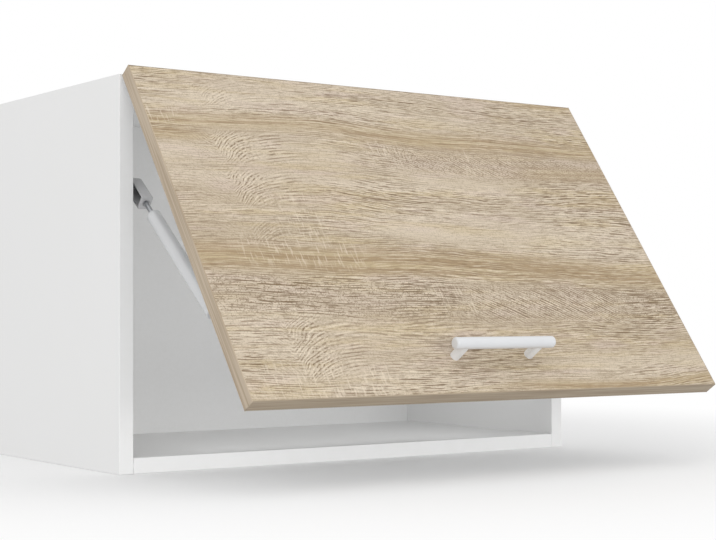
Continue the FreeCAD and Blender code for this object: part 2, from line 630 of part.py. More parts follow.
# Carcass boards
back_groove = block(-INNER_X - GROOVE_DEPTH, INNER_X + GROOVE_DEPTH,
                    BACK_Y - GROOVE_PLAY, -BACK_RECESS + GROOVE_PLAY,
                    BOARD - GROOVE_DEPTH, HEIGHT - BOARD + GROOVE_DEPTH)
side_panel = block(-WIDTH / 2, -INNER_X, FRONT_Y + EDGE_BAND, 0, 0, HEIGHT)
side_panel = side_panel.cut([back_groove] + corner_holes + hanger_peg_holes() + wall_plate_screws(FIT_PLAY))
export_pair("side_panel", side_panel)

both_corner_holes = [twin for hole in corner_holes for twin in both_sides(hole)]
both_hinge_holes = [twin for hole in fixed_leaf_holes for twin in both_sides(hole)]
top_panel = block(-INNER_X, INNER_X, FRONT_Y + EDGE_BAND, 0, HEIGHT - BOARD, HEIGHT)
export("top_panel", top_panel.cut([back_groove] + both_corner_holes + both_hinge_holes))
bottom_panel = block(-INNER_X, INNER_X, FRONT_Y + EDGE_BAND, 0, 0, BOARD)
export("bottom_panel", bottom_panel.cut([back_groove] + both_corner_holes))

back_half_width = INNER_X + GROOVE_DEPTH - BACK_EDGE_PLAY
back_low = BOARD - GROOVE_DEPTH + BACK_EDGE_PLAY
back_high = HEIGHT - BOARD + GROOVE_DEPTH - BACK_EDGE_PLAY
back_panel = block(-back_half_width, back_half_width, BACK_Y, -BACK_RECESS, back_low, back_high)
hanger_window = block(-INNER_X, -INNER_X + HANGER_WIDTH, BACK_Y, -BACK_RECESS,
                      hook_under - HOOK_CLAW_DROP - HANGER_CUTOUT_MARGIN, HEIGHT - BOARD)
export("back_panel", back_panel.cut(both_sides(hanger_window)))

side_band = block(-WIDTH / 2, -INNER_X, FRONT_Y, FRONT_Y + EDGE_BAND, 0, HEIGHT)
export_pair("side_edge_band", side_band)
top_band = block(-INNER_X, INNER_X, FRONT_Y, FRONT_Y + EDGE_BAND, HEIGHT - BOARD, HEIGHT)
export("top_edge_band", top_band.cut(both_hinge_holes))
export("bottom_edge_band", block(-INNER_X, INNER_X, FRONT_Y, FRONT_Y + EDGE_BAND, 0, BOARD))

export("joint_dowels", *joint_dowels)
export("cam_locks", *cam_locks)
export("cam_bolts", *cam_bolts)
export("cam_cover_caps", *cam_caps)
export_pair("hanger_housing", hanger_housing())
export_pair("hanger_hook", hanger_hook())
export("hanger_adjusting_screws", *adjusters)
export_pair("hinge_fixed_leaf", fixed_leaf)
export("hinge_pins", *both_sides(hinge_pin))
fixed_screws = leaf_screws(fixed_leaf_face, BACK)
export("fixed_leaf_screws", *[twin for piece in fixed_screws for twin in both_sides(piece)])
export_pair("strut_wall_plate", wall_plate())
export("strut_plate_screws", *[twin for piece in wall_plate_screws() for twin in both_sides(piece)])

# Flap and what it carries
core_half_width = FLAP_HALF_WIDTH - FLAP_BAND
core_low = FLAP_REVEAL + FLAP_BAND
core_high = FLAP_TOP_Z - FLAP_BAND
handle_z = FLAP_REVEAL + HANDLE_RISE
bar_y = FLAP_FRONT_Y - HANDLE_REACH
post_x = HANDLE_PITCH / 2


def handle_screw(play=0.0):
    """A pan-headed screw from behind, through the flap and into a post, or its hole."""
    end = FLAP_BOARD + HANDLE_SCREW_IN_POST + play
    radius = HANDLE_SCREW_RADIUS + play
    steps = [(-HANDLE_SCREW_HEAD, 0), (-HANDLE_SCREW_HEAD, HANDLE_SCREW_HEAD_RADIUS),
             (0, HANDLE_SCREW_HEAD_RADIUS), (0, radius), (end, radius), (end, 0)]
    return turned(steps, vec(-post_x, FLAP_REAR_Y, handle_z), FRONT)


flap_holes = flap_leaf_holes + bracket_screws(FIT_PLAY) + [handle_screw(FIT_PLAY)]
both_flap_holes = [twin for hole in flap_holes for twin in both_sides(hole)]
flap_panel = block(-core_half_width, core_half_width, FLAP_FRONT_Y, FLAP_REAR_Y, core_low, core_high)
export("flap_panel", opened(flap_panel.cut(both_flap_holes)))
flap_top_band = block(-core_half_width, core_half_width, FLAP_FRONT_Y, FLAP_REAR_Y, core_high, FLAP_TOP_Z)
export("flap_top_band", opened(flap_top_band.cut(both_sides(knuckle_room))))
flap_bottom_band = block(-core_half_width, core_half_width, FLAP_FRONT_Y, FLAP_REAR_Y, FLAP_REVEAL, core_low)
export("flap_bottom_band", opened(flap_bottom_band))
flap_end_band = block(-FLAP_HALF_WIDTH, -core_half_width, FLAP_FRONT_Y, FLAP_REAR_Y,
                      FLAP_REVEAL, FLAP_TOP_Z)
export("flap_left_band", opened(flap_end_band))
export("flap_right_band", opened(mirrored(flap_end_band)))

handle_bar = bar(vec(-HANDLE_LENGTH / 2, bar_y, handle_z), RIGHT, HANDLE_RADIUS, HANDLE_LENGTH)
handle_post = bar(vec(-post_x, FLAP_FRONT_Y, handle_z), FRONT, POST_RADIUS, HANDLE_REACH)
handle_post = handle_post.cut([handle_bar, handle_screw(FIT_PLAY)])
ends = [edge for edge in handle_bar.Edges if abs(abs(edge.CenterOfMass.x) - HANDLE_LENGTH / 2) < FIT_PLAY]
export("handle_bar", opened(handle_bar.makeFillet(HANDLE_END_ROUNDING, ends)))
export("handle_left_post", opened(handle_post))
export("handle_right_post", opened(mirrored(handle_post)))
export("handle_screws", *[opened(twin) for twin in both_sides(handle_screw())])

export_pair("hinge_flap_leaf", opened(flap_leaf))
flap_screws = leaf_screws(flap_leaf_face, FRONT)
export("flap_leaf_screws", *[opened(twin) for piece in flap_screws for twin in both_sides(piece)])
export_pair("strut_flap_bracket", opened(flap_bracket()))
export("strut_bracket_screws", *[opened(twin) for piece in bracket_screws() for twin in both_sides(piece)])
export("strut_flap_pins", *[opened(twin) for twin in both_sides(flap_pin())])
bumper_x = -WIDTH / 2 + BOARD / 2
bumper = bar(vec(bumper_x, FLAP_REAR_Y, BUMPER_RISE), BACK, BUMPER_RADIUS, FLAP_GAP - BUMPER_PLAY)
export("flap_bumpers", *[opened(twin) for twin in both_sides(bumper)])

# Gas struts
export_pair("strut_rod_eye", along_strut(strut_eye()))
export_pair("strut_rod", along_strut(strut_rod()))
export_pair("strut_piston", along_strut(strut_piston()))
export_pair("strut_tube", along_strut(strut_tube()))
export_pair("strut_rod_guide", along_strut(strut_guide()))
export_pair("strut_neck", along_strut(strut_neck()))
export_pair("strut_top_fitting", along_strut(strut_top_fitting()))
export_pair("strut_top_stud", along_strut(strut_top_stud()))

rod_shown = tube_mouth - EYE_REACH
rod_shown_shut = rod_shown - rest_length + shut_length
print(f"strut length: shut {shut_length:.2f}, at rest {rest_length:.2f}, fully open {full_length:.2f}")
print(f"tube {tube_length:.2f}, rod shown at rest {rod_shown:.2f}, shut {rod_shown_shut:.2f}")
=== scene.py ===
import json
import math

import bmesh
import bpy
from mathutils import Matrix, Vector


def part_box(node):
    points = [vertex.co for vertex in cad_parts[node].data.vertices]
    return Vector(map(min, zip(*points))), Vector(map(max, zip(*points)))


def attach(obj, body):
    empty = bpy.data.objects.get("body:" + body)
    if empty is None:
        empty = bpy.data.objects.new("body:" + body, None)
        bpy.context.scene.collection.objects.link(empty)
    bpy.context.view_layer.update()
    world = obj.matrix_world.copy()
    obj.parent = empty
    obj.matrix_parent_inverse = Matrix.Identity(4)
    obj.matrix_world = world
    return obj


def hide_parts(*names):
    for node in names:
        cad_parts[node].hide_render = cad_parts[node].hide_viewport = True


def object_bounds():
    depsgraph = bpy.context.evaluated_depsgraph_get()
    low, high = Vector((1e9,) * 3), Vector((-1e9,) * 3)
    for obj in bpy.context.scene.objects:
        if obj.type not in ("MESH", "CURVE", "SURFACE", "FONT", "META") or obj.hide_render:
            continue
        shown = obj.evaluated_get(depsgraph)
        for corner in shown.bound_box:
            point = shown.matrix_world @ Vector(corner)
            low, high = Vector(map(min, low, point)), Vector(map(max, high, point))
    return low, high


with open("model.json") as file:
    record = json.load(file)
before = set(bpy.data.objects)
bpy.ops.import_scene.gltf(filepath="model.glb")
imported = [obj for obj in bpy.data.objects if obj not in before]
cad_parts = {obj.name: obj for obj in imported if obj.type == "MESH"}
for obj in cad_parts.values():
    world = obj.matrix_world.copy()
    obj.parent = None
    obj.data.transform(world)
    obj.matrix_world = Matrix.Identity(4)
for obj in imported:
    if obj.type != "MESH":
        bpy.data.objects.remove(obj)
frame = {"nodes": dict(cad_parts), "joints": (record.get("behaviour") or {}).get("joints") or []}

cad_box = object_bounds()


# Side, top and bottom panels
# Boards of 16 mm chipboard faced with white melamine, sawn to size and grooved for the back.
# Cams and dowels join them. Their rear edges, which go to the wall, are left raw.
BOARD_EDGE_ROUNDING = 0.0003
ROUNDING_STEPS = 3
CHIPS_UPRIGHT = (950, 500, 460)
CHIPS_LEVEL = (460, 500, 950)
TOUCH = 1e-5
FLAT_ANGLE = math.radians(0.5)
SHARP_ANGLE = math.radians(40)
# The least share of a face's normal along a direction for it to look that way
FACING = 0.5
# Where nearly all of a noise's values lie
NOISE_RANGE = (0.3, 0.7)


def srgb(red, green, blue):
    """A colour as it looks on screen, from 0 to 255, made linear for a shader."""
    shares = [value / 255 for value in (red, green, blue)]
    return (*[s / 12.92 if s <= 0.04045 else ((s + 0.055) / 1.055) ** 2.4 for s in shares], 1.0)


class Nodes:
    """Adds nodes to a tree. An input given as a socket is linked, and any other is set as a value."""

    def __init__(self, tree):
        self.tree = tree

    def add(self, kind, inputs=None, **settings):
        node = self.tree.nodes.new(kind)
        for name, value in settings.items():
            setattr(node, name, value)
        for key, value in (inputs or {}).items():
            self.feed(node.inputs[key], value)
        return node

    def feed(self, socket, value):
        if isinstance(value, bpy.types.NodeSocket):
            self.tree.links.new(value, socket)
        else:
            socket.default_value = value

    def math(self, operation, a, b=0.0, c=0.0):
        return self.add("ShaderNodeMath", {0: a, 1: b, 2: c}, operation=operation).outputs[0]

    def times(self, a, b, plus=None):
        """a times b, with plus added where it is given."""
        if plus is None:
            return self.math("MULTIPLY", a, b)
        return self.math("MULTIPLY_ADD", a, b, plus)

    def most(self, largest, *others):
        """The largest of some values."""
        for other in others:
            largest = self.math("MAXIMUM", largest, other)
        return largest

    def place(self, **settings):
        """Object coordinates, moved, turned or scaled by a Mapping node."""
        spot = self.add("ShaderNodeTexCoord").outputs["Object"]
        return self.remap(spot, **settings)

    def remap(self, spot, scale=(1, 1, 1), location=(0, 0, 0), rotation=(0, 0, 0), kind="POINT"):
        values = {"Vector": spot, "Scale": scale, "Location": location, "Rotation": rotation}
        return self.add("ShaderNodeMapping", values, vector_type=kind).outputs[0]

    def noise(self, spot, scale, detail=2.0, roughness=0.5):
        values = {"Vector": spot, "Scale": scale, "Detail": detail, "Roughness": roughness}
        return self.add("ShaderNodeTexNoise", values).outputs[0]

    def spread(self, value, low, high, to_low=0.0, to_high=1.0, soft=True):
        """Maps a value's range from low to high onto another range, and holds the ends beyond it."""
        values = {"Value": value, "From Min": low, "From Max": high, "To Min": to_low, "To Max": to_high}
        shape = "SMOOTHSTEP" if soft else "LINEAR"
        return self.add("ShaderNodeMapRange", values, interpolation_type=shape).outputs[0]

    def blend(self, share, first, second):
        """Mixes two colours, which are the Mix node's inputs 6 and 7 and its output 2."""
        return self.add("ShaderNodeMix", {0: share, 6: first, 7: second}, data_type="RGBA").outputs[2]

    def layered(self, colour, *coats):
        """A colour under some coats, each given with its share."""
        for share, coat in coats:
            colour = self.blend(share, colour, coat)
        return colour

    def bump(self, height, strength, distance):
        values = {"Height": height, "Strength": strength, "Distance": distance}
        return self.add("ShaderNodeBump", values).outputs[0]


def finish(name, **shader):
    """A new material: returns it, its node maker and its shader, with plain numbers set on the shader."""
    made = bpy.data.materials.new(name)
    made.use_nodes = True
    nodes = Nodes(made.node_tree)
    surface = made.node_tree.nodes["Principled BSDF"]
    for key, value in shader.items():
        nodes.feed(surface.inputs[key.replace("_", " ")], value)
    return made, nodes, surface


def mottled(name, dark, light, tone, rough=None, texture=None, stretch=(1, 1, 1), **shader):
    """A finish whose colour wanders between two tones. tone is the scale and detail of the noise that it
    follows, rough the range of its roughness, texture a fine noise with its strength and depth, and
    stretch the scale of both noises along each axis."""
    made, nodes, surface = finish(name, **shader)
    spot = nodes.place(scale=stretch)
    wander = nodes.noise(spot, *tone)
    nodes.feed(surface.inputs["Base Color"], nodes.blend(wander, dark, light))
    if rough:
        nodes.feed(surface.inputs["Roughness"], nodes.spread(wander, *NOISE_RANGE, *rough))
    if texture:
        scale, detail, strength, depth = texture
        nodes.feed(surface.inputs["Normal"], nodes.bump(nodes.noise(spot, scale, detail), strength, depth))
    return made


def raw_chipboard(name, chip_scale):
    """A sawn chipboard edge: pressed chips of pale and brown wood with small dark gaps."""
    made, nodes, surface = finish(name, Roughness=0.9)
    spot = nodes.place(scale=chip_scale)
    chips = nodes.add("ShaderNodeTexVoronoi", {"Vector": spot, "Scale": 1.0, "Randomness": 1.0})
    tone = nodes.noise(nodes.place(), 180.0, 4.0)
    wood = nodes.blend(chips.outputs["Color"], srgb(186, 156, 116), srgb(218, 193, 153))
    gaps = nodes.spread(chips.outputs["Distance"], 0.55, 0.85)
    aged = nodes.blend(nodes.spread(tone, 0.4, 0.65), wood, srgb(166, 135, 98))
    nodes.feed(surface.inputs["Base Color"], nodes.blend(gaps, aged, srgb(124, 97, 67)))
    nodes.feed(surface.inputs["Normal"], nodes.bump(chips.outputs["Distance"], 0.5, 0.0004))
    return made


def corner_edge(edge, low, high):
    """True for an edge along one of the twelve corners of a board's box."""
    ends = [vert.co for vert in edge.verts]
    sides = [(axis, side[axis]) for axis in range(3) for side in (low, high)]
    return sum(all(abs(end[axis] - at) < TOUCH for end in ends) for axis, at in sides) >= 2


def placed(name, data):
    """A new object in the scene."""
    made = bpy.data.objects.new(name, data)
    bpy.context.scene.collection.objects.link(made)
    return made


def worked_in(holder):
    """The mesh that an object's modifiers make. The object itself is removed."""
    depsgraph = bpy.context.evaluated_depsgraph_get()
    made = bpy.data.meshes.new_from_object(holder.evaluated_get(depsgraph), depsgraph=depsgraph)
    bpy.data.objects.remove(holder)
    return made


def plain(mesh, *modifiers):
    """A mesh with modifiers worked in: each is its kind and its settings."""
    holder = placed("holder", mesh)
    for kind, settings in modifiers:
        modifier = holder.modifiers.new(kind, kind)
        for name, value in settings.items():
            setattr(modifier, name, value)
    return worked_in(holder)


def rounded_copy(node, radius=0.0, picked=None, turn=None, reshape=None):
    """A node's own shape, with the picked edges rounded where there are any. turn is where the node
    was turned to, and reshape a change that is made to the shape first."""
    turn = turn or Matrix()
    work = bmesh.new()
    work.from_mesh(frame["nodes"][node].data)
    work.transform(turn.inverted())
    bmesh.ops.remove_doubles(work, verts=work.verts, dist=TOUCH / 10)
    bmesh.ops.dissolve_limit(work, angle_limit=FLAT_ANGLE, verts=work.verts, edges=work.edges)
    if reshape:
        reshape(work)
    low = Vector([min(vert.co[axis] for vert in work.verts) for axis in range(3)])
    high = Vector([max(vert.co[axis] for vert in work.verts) for axis in range(3)])
    weight = work.edges.layers.float.new("bevel_weight_edge")
    for edge in work.edges:
        edge[weight] = float(picked is not None and picked(edge, low, high))
        edge.smooth = len(edge.link_faces) == 2 and edge.calc_face_angle() < SHARP_ANGLE
    for face in work.faces:
        face.smooth = True
    mesh = bpy.data.meshes.new(node)
    work.to_mesh(mesh)
    work.free()
    rounding = {"width": radius, "segments": ROUNDING_STEPS, "limit_method": "WEIGHT",
                "use_clamp_overlap": False}
    made = plain(mesh, ("BEVEL", rounding), ("WEIGHTED_NORMAL", {"keep_sharp": True}))
    made.transform(turn)
    return made


def seat(mesh, body, nodes, slot, *finishes):
    """Puts a finished mesh on its body, in place of the nodes that it stands for."""
    for made in finishes:
        if made.name not in mesh.materials:
            mesh.materials.append(made)
    piece = placed(nodes[0] + ".finished", mesh)
    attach(piece, body)
    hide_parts(*nodes)


melamine = mottled("white_melamine", srgb(234, 234, 233), srgb(238, 238, 238), tone=(7.0, 3.0),
                   rough=(0.40, 0.50), texture=(1400.0, 1.0, 0.12, 0.0002))
upright_chipboard = raw_chipboard("raw_chipboard_upright", CHIPS_UPRIGHT)
level_chipboard = raw_chipboard("raw_chipboard_level", CHIPS_LEVEL)
for node, chipboard in (("left_side_panel", upright_chipboard), ("right_side_panel", upright_chipboard),
                        ("top_panel", level_chipboard), ("bottom_panel", level_chipboard)):
    board = rounded_copy(node, BOARD_EDGE_ROUNDING, corner_edge)
    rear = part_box(node)[1].y
    for face in board.polygons:
        face.material_index = int(face.normal.y > FACING and abs(face.center.y - rear) < TOUCH)
    seat(board, "carcass", [node], "white_board", melamine, chipboard)


# Back panel
# A 3 mm hardboard sheet, lacquered white on the inside and bare brown fibre on the wall side.
# It slides in the groove round the boards and is cut away at the upper corners for the hanger hooks.
SCREEN_SCALE = 160.0


def bare_hardboard():
    """The screen side of hardboard: brown felted fibre with the press screen's fine mesh."""
    made, nodes, surface = finish("bare_hardboard", Roughness=0.85)
    spot = nodes.place()
    fibre = nodes.noise(spot, 240.0, 6.0, 0.65)
    cloud = nodes.noise(spot, 9.0, 3.0)
    brown = nodes.blend(nodes.spread(fibre, *NOISE_RANGE), srgb(122, 88, 58), srgb(164, 126, 88))
    clouded = nodes.blend(nodes.spread(cloud, 0.3, 0.9), brown, srgb(138, 104, 72))
    nodes.feed(surface.inputs["Base Color"], clouded)
    wires = [nodes.add("ShaderNodeTexWave", {"Vector": spot, "Scale": SCREEN_SCALE}, bands_direction=way)
             for way in ("X", "Z")]
    screen = nodes.math("ADD", wires[0].outputs[1], wires[1].outputs[1])
    nodes.feed(surface.inputs["Normal"], nodes.bump(screen, 0.25, 0.0002))
    return made


lacquer = mottled("white_lacquer", srgb(230, 230, 229), srgb(235, 235, 235), tone=(260.0, 4.0),
                  texture=(260.0, 4.0, 0.06, 0.0003), Roughness=0.38)
sheet = rounded_copy("back_panel", BOARD_EDGE_ROUNDING, corner_edge)
for face in sheet.polygons:
    face.material_index = int(face.normal.y > -FACING)
seat(sheet, "carcass", ["back_panel"], "white_back", lacquer, bare_hardboard())


# Front edge bands
# Strips of white plastic, 1 mm thick, glued to the front edges of the four boards.
# The machine that trims them rounds their two front corners.
BAND_ROUNDING = 0.0007


def outer_edge(axis, side):
    """Picks the edges on a band's outer face: axis is 0 to 2 for X to Z, and side is 0 or 1
    for the low or the high end."""
    def picked(edge, low, high):
        outer = (low, high)[side][axis]
        return corner_edge(edge, low, high) and all(abs(end.co[axis] - outer) < TOUCH for end in edge.verts)
    return picked


band_white = mottled("white_band", srgb(233, 233, 232), srgb(237, 237, 237), tone=(90.0, 2.0),
                     rough=(0.32, 0.42), texture=(1100.0, 1.0, 0.08, 0.0002))
for node in ("left_side_edge_band", "right_side_edge_band", "top_edge_band", "bottom_edge_band"):
    strip = rounded_copy(node, BAND_ROUNDING, outer_edge(1, 0))
    seat(strip, "carcass", [node], "white_band", band_white)


# Corner fittings
# Beech dowels and zinc cams with their bolts, pressed and turned into holes in the boards, out of sight.
# Only the plastic caps over the cams show, on the top and the underside.
CAP_SIDES = 48
CAP_CHAMFER = 0.0003
CAP_DISH = 0.55
CAP_DISH_DEPTH = 0.0002


def dress(node, made):
    """Gives a node that keeps its own shape its finish."""
    shape = frame["nodes"][node].data
    shape.materials.clear()
    shape.materials.append(made)


def separate_solids(node):
    """The points of each separate solid in a node that holds a group of like pieces."""
    work = bmesh.new()
    work.from_mesh(frame["nodes"][node].data)
    bmesh.ops.remove_doubles(work, verts=work.verts, dist=TOUCH / 10)
    left = set(work.verts)
    groups = []
    while left:
        found = [left.pop()]
        for vert in found:
            beside = {edge.other_vert(vert) for edge in vert.link_edges} & left
            left -= beside
            found.extend(beside)
        groups.append([vert.co.copy() for vert in found])
    work.free()
    return groups


def end_of(points, direction):
    """Where a round piece that points along direction starts on its axis, its length and its radius."""
    direction = direction.normalized()
    across = direction.orthogonal().normalized()
    square = direction.cross(across)
    spans = [[point.dot(way) for point in points] for way in (direction, across, square)]
    start = direction * min(spans[0])
    for way, span in ((across, spans[1]), (square, spans[2])):
        start += way * (min(span) + max(span)) / 2
    return start, max(spans[0]) - min(spans[0]), (max(spans[1]) - min(spans[1])) / 2


def group_tree(name, sizes):
    """A geometry tree that takes points and named sizes, with its node maker and its inputs."""
    tree = bpy.data.node_groups.new(name, "GeometryNodeTree")
    tree.interface.new_socket("Geometry", in_out="INPUT", socket_type="NodeSocketGeometry")
    tree.interface.new_socket("Geometry", in_out="OUTPUT", socket_type="NodeSocketGeometry")
    for size in sizes:
        tree.interface.new_socket(size, in_out="INPUT", socket_type="NodeSocketFloat")
    tree.interface.new_socket("Finish", in_out="INPUT", socket_type="NodeSocketMaterial")
    nodes = Nodes(tree)
    return tree, nodes, nodes.add("NodeGroupInput").outputs


def moved(nodes, shape, height):
    """A shape in a geometry tree, moved up."""
    shift = nodes.add("ShaderNodeCombineXYZ", {"Z": height}).outputs[0]
    return nodes.add("GeometryNodeTransform", {"Geometry": shape, "Translation": shift}).outputs[0]


def set_on_points(nodes, inputs, shape):
    """Ends a tree: the shape stands on each point, its own Z along the point's axis, as real faces."""
    axis = nodes.add("GeometryNodeInputNamedAttribute", {"Name": "axis"}, data_type="FLOAT_VECTOR")
    turn = nodes.add("FunctionNodeAlignRotationToVector", {"Vector": axis.outputs[0]}, axis="Z")
    values = {"Points": inputs["Geometry"], "Instance": shape, "Rotation": turn.outputs[0]}
    copies = nodes.add("GeometryNodeInstanceOnPoints", values)
    real = nodes.add("GeometryNodeRealizeInstances", {"Geometry": copies.outputs[0]})
    done = nodes.add("GeometryNodeSetMaterial", {"Geometry": real.outputs[0], "Material": inputs["Finish"]})
    nodes.add("NodeGroupOutput", {"Geometry": done.outputs[0]})


def grown(tree, starts, sizes, made):
    """The mesh that a tree grows on points, each given with its axis."""
    points = bpy.data.meshes.new("points")
    points.from_pydata([start for start, direction in starts], [], [])
    axes = points.attributes.new("axis", "FLOAT_VECTOR", "POINT")
    for place, (start, direction) in enumerate(starts):
        axes.data[place].vector = direction
    holder = placed("holder", points)
    modifier = holder.modifiers.new("grow", "NODES")
    modifier.node_group = tree
    values = {**sizes, "Finish": made}
    for socket in tree.interface.items_tree:
        if socket.in_out == "INPUT" and socket.name in values:
            modifier[socket.identifier] = values[socket.name]
    return worked_in(holder)


def cover_cap_tree():
    """A cap: a thin disc with a chamfered rim and a shallow dish, its shown face at the point."""
    tree, nodes, inputs = group_tree("cover_cap", ["Radius", "Thickness", "Chamfer", "Dish", "Dish Depth"])
    straight = nodes.math("SUBTRACT", inputs["Thickness"], inputs["Chamfer"])
    sizes = {"Vertices": CAP_SIDES, "Radius": inputs["Radius"], "Depth": straight}
    disc = nodes.add("GeometryNodeMeshCylinder", sizes, fill_type="NGON")
    middle = nodes.times(straight, -0.5, nodes.times(inputs["Chamfer"], -1.0))
    low = moved(nodes, disc.outputs["Mesh"], middle)

    def raised(shape, picked, height):
        values = {"Mesh": shape, "Selection": picked, "Offset Scale": height}
        return nodes.add("GeometryNodeExtrudeMesh", values).outputs

    def narrowed(shape, picked, share):
        values = {"Geometry": shape, "Selection": picked, "Scale": share}
        return nodes.add("GeometryNodeScaleElements", values).outputs[0]

    rim = raised(low, disc.outputs["Top"], inputs["Chamfer"])
    chamfered = nodes.math("SUBTRACT", 1.0, nodes.math("DIVIDE", inputs["Chamfer"], inputs["Radius"]))
    inner = raised(narrowed(rim["Mesh"], rim["Top"], chamfered), rim["Top"], 0.0)
    ring = narrowed(inner["Mesh"], inner["Top"], inputs["Dish"])
    sunk = raised(ring, inner["Top"], nodes.times(inputs["Dish Depth"], -1.0))
    set_on_points(nodes, inputs, sunk["Mesh"])
    return tree


zinc = mottled("zinc_plate", srgb(176, 178, 182), srgb(205, 206, 208), tone=(340.0, 3.0),
               rough=(0.28, 0.42), texture=(2200.0, 2.0, 0.08, 0.0001), Metallic=1.0)
white_plastic = mottled("white_moulding", srgb(226, 226, 224), srgb(232, 232, 231), tone=(55.0, 2.0),
                        rough=(0.42, 0.55), texture=(1800.0, 1.0, 0.1, 0.0002))
beech = mottled("beech", srgb(196, 150, 104), srgb(224, 184, 138), tone=(1.0, 3.0),
                texture=(1.0, 3.0, 0.2, 0.0002), stretch=(60, 900, 900), Roughness=0.6)
dress("joint_dowels", beech)
dress("cam_locks", zinc)
dress("cam_bolts", zinc)
middle_height = (cad_box[0][2] + cad_box[1][2]) / 2
cap_starts = []
for points in separate_solids("cam_cover_caps"):
    outward = Vector((0, 0, 1 if points[0].z > middle_height else -1))
    inner_face, cap_thickness, cap_radius = end_of(points, outward)
    cap_starts.append((inner_face + outward * cap_thickness, outward))
cap_sizes = {"Radius": cap_radius, "Thickness": cap_thickness, "Chamfer": CAP_CHAMFER,
             "Dish": CAP_DISH, "Dish Depth": CAP_DISH_DEPTH}
caps = grown(cover_cap_tree(), cap_starts, cap_sizes, white_plastic)
seat(caps, "carcass", ["cam_cover_caps"], "white_trim", white_plastic)


# Hangers
# A moulded white box in each upper rear corner, pegged to the side panel. A zinc-plated steel hook
# comes out through the back to catch the wall rail, and two screws in the box set its height and depth.
HANGER_EDGE_ROUNDING = 0.0006
HOOK_EDGE_ROUNDING = 0.0003

for side in ("left", "right"):
    housing = rounded_copy(side + "_hanger_housing", HANGER_EDGE_ROUNDING, corner_edge)
    seat(housing, "carcass", [side + "_hanger_housing"], "white_trim", white_plastic)
    hook = rounded_copy(side + "_hanger_hook", HOOK_EDGE_ROUNDING, corner_edge)
    seat(hook, "carcass", [side + "_hanger_hook"], "zinc", zinc)
dress("hanger_adjusting_screws", zinc)


# Screws
# Zinc-plated chipboard screws with countersunk heads and a cross recess, driven through the hinge
# leaves, wall plates and brackets, and two pan-headed screws that hold the handle from behind.
SCREW_SIDES = 32
SCREW_CORE = 0.72
SCREW_TIP = 0.5
SCREW_TURNS_PER_METRE = 700.0
THREAD_SHARE = 0.9
THREAD_STEPS = 12
PAN_CROWN = 0.8
RECESS_SPAN = 1.15
RECESS_WIDTH = 0.26
RECESS_DEPTH = 0.55
LEAF_SHANK = 0.00125
PLATE_SHANK = 0.00175
HANDLE_SHANK = 0.002
HANDLE_HEAD = 0.0025


def screw_tree(name, pan_headed):
    """A screw that points along Z, with the seat of its head at the point."""
    tree, nodes, inputs = group_tree(name, ["Head Radius", "Shank Radius", "Length", "Head Height"])
    head_radius = inputs["Head Radius"]
    shank_radius = inputs["Shank Radius"]
    core = nodes.times(shank_radius, SCREW_CORE)

    def cone(low_radius, high_radius, depth, rings):
        values = {"Vertices": SCREW_SIDES, "Side Segments": rings, "Radius Bottom": low_radius,
                  "Radius Top": high_radius, "Depth": depth}
        return nodes.add("GeometryNodeMeshCone", values, fill_type="NGON").outputs["Mesh"]

    if pan_headed:
        face = nodes.times(inputs["Head Height"], -1.0)
        crown = nodes.times(head_radius, PAN_CROWN)
        head = moved(nodes, cone(crown, head_radius, inputs["Head Height"], 3), face)
        neck = 0.0
    else:
        face = 0.0
        neck = nodes.math("SUBTRACT", head_radius, shank_radius)
        head = cone(head_radius, shank_radius, neck, 2)
    recessed = nodes.add("GeometryNodeMeshBoolean", {"Mesh 1": head}, operation="DIFFERENCE")
    span = nodes.times(head_radius, RECESS_SPAN)
    width = nodes.times(head_radius, RECESS_WIDTH)
    depth = nodes.times(head_radius, 2 * RECESS_DEPTH)
    for along, across in ((span, width), (width, span)):
        size = nodes.add("ShaderNodeCombineXYZ", {"X": along, "Y": across, "Z": depth}).outputs[0]
        blade = nodes.add("GeometryNodeMeshCube", {"Size": size}).outputs["Mesh"]
        nodes.feed(recessed.inputs["Mesh 2"], moved(nodes, blade, face))
    shank = nodes.math("SUBTRACT", inputs["Length"], neck)
    body = moved(nodes, cone(core, nodes.times(core, SCREW_TIP), shank, 1), neck)
    turns = {"Resolution": THREAD_STEPS, "Rotations": nodes.times(shank, SCREW_TURNS_PER_METRE),
             "Start Radius": core, "End Radius": core, "Height": nodes.times(shank, THREAD_SHARE)}
    helix = nodes.add("GeometryNodeCurveSpiral", turns).outputs[0]
    section = {"Resolution": 3, "Radius": nodes.math("SUBTRACT", shank_radius, core)}
    ridge = nodes.add("GeometryNodeCurvePrimitiveCircle", section).outputs[0]
    sweep = {"Curve": helix, "Profile Curve": ridge, "Fill Caps": True}
    thread = nodes.add("GeometryNodeCurveToMesh", sweep).outputs[0]
    whole = nodes.add("GeometryNodeJoinGeometry")
    for shape in (recessed.outputs["Mesh"], body, moved(nodes, thread, neck)):
        nodes.feed(whole.inputs[0], shape)
    set_on_points(nodes, inputs, whole.outputs[0])
    return tree


def joint_named(name):
    return next(joint for joint in frame["joints"] if joint["name"] == name)


hinge_line = Vector(joint_named("flap_hinge")["pos_m"])
rest_opening = math.radians(joint_named("flap_hinge")["range_deg"][0])
about_hinge = Matrix.Translation(hinge_line)
flap_turn = about_hinge @ Matrix.Rotation(rest_opening, 4, "X") @ Matrix.Translation(-hinge_line)
flap_front = flap_turn.to_3x3() @ Vector((0, -1, 0))


def rearward(points):
    return Vector((0, 1, 0))


def sideward(points):
    return Vector((math.copysign(1, points[0].x), 0, 0))


def through_flap(points):
    return flap_front


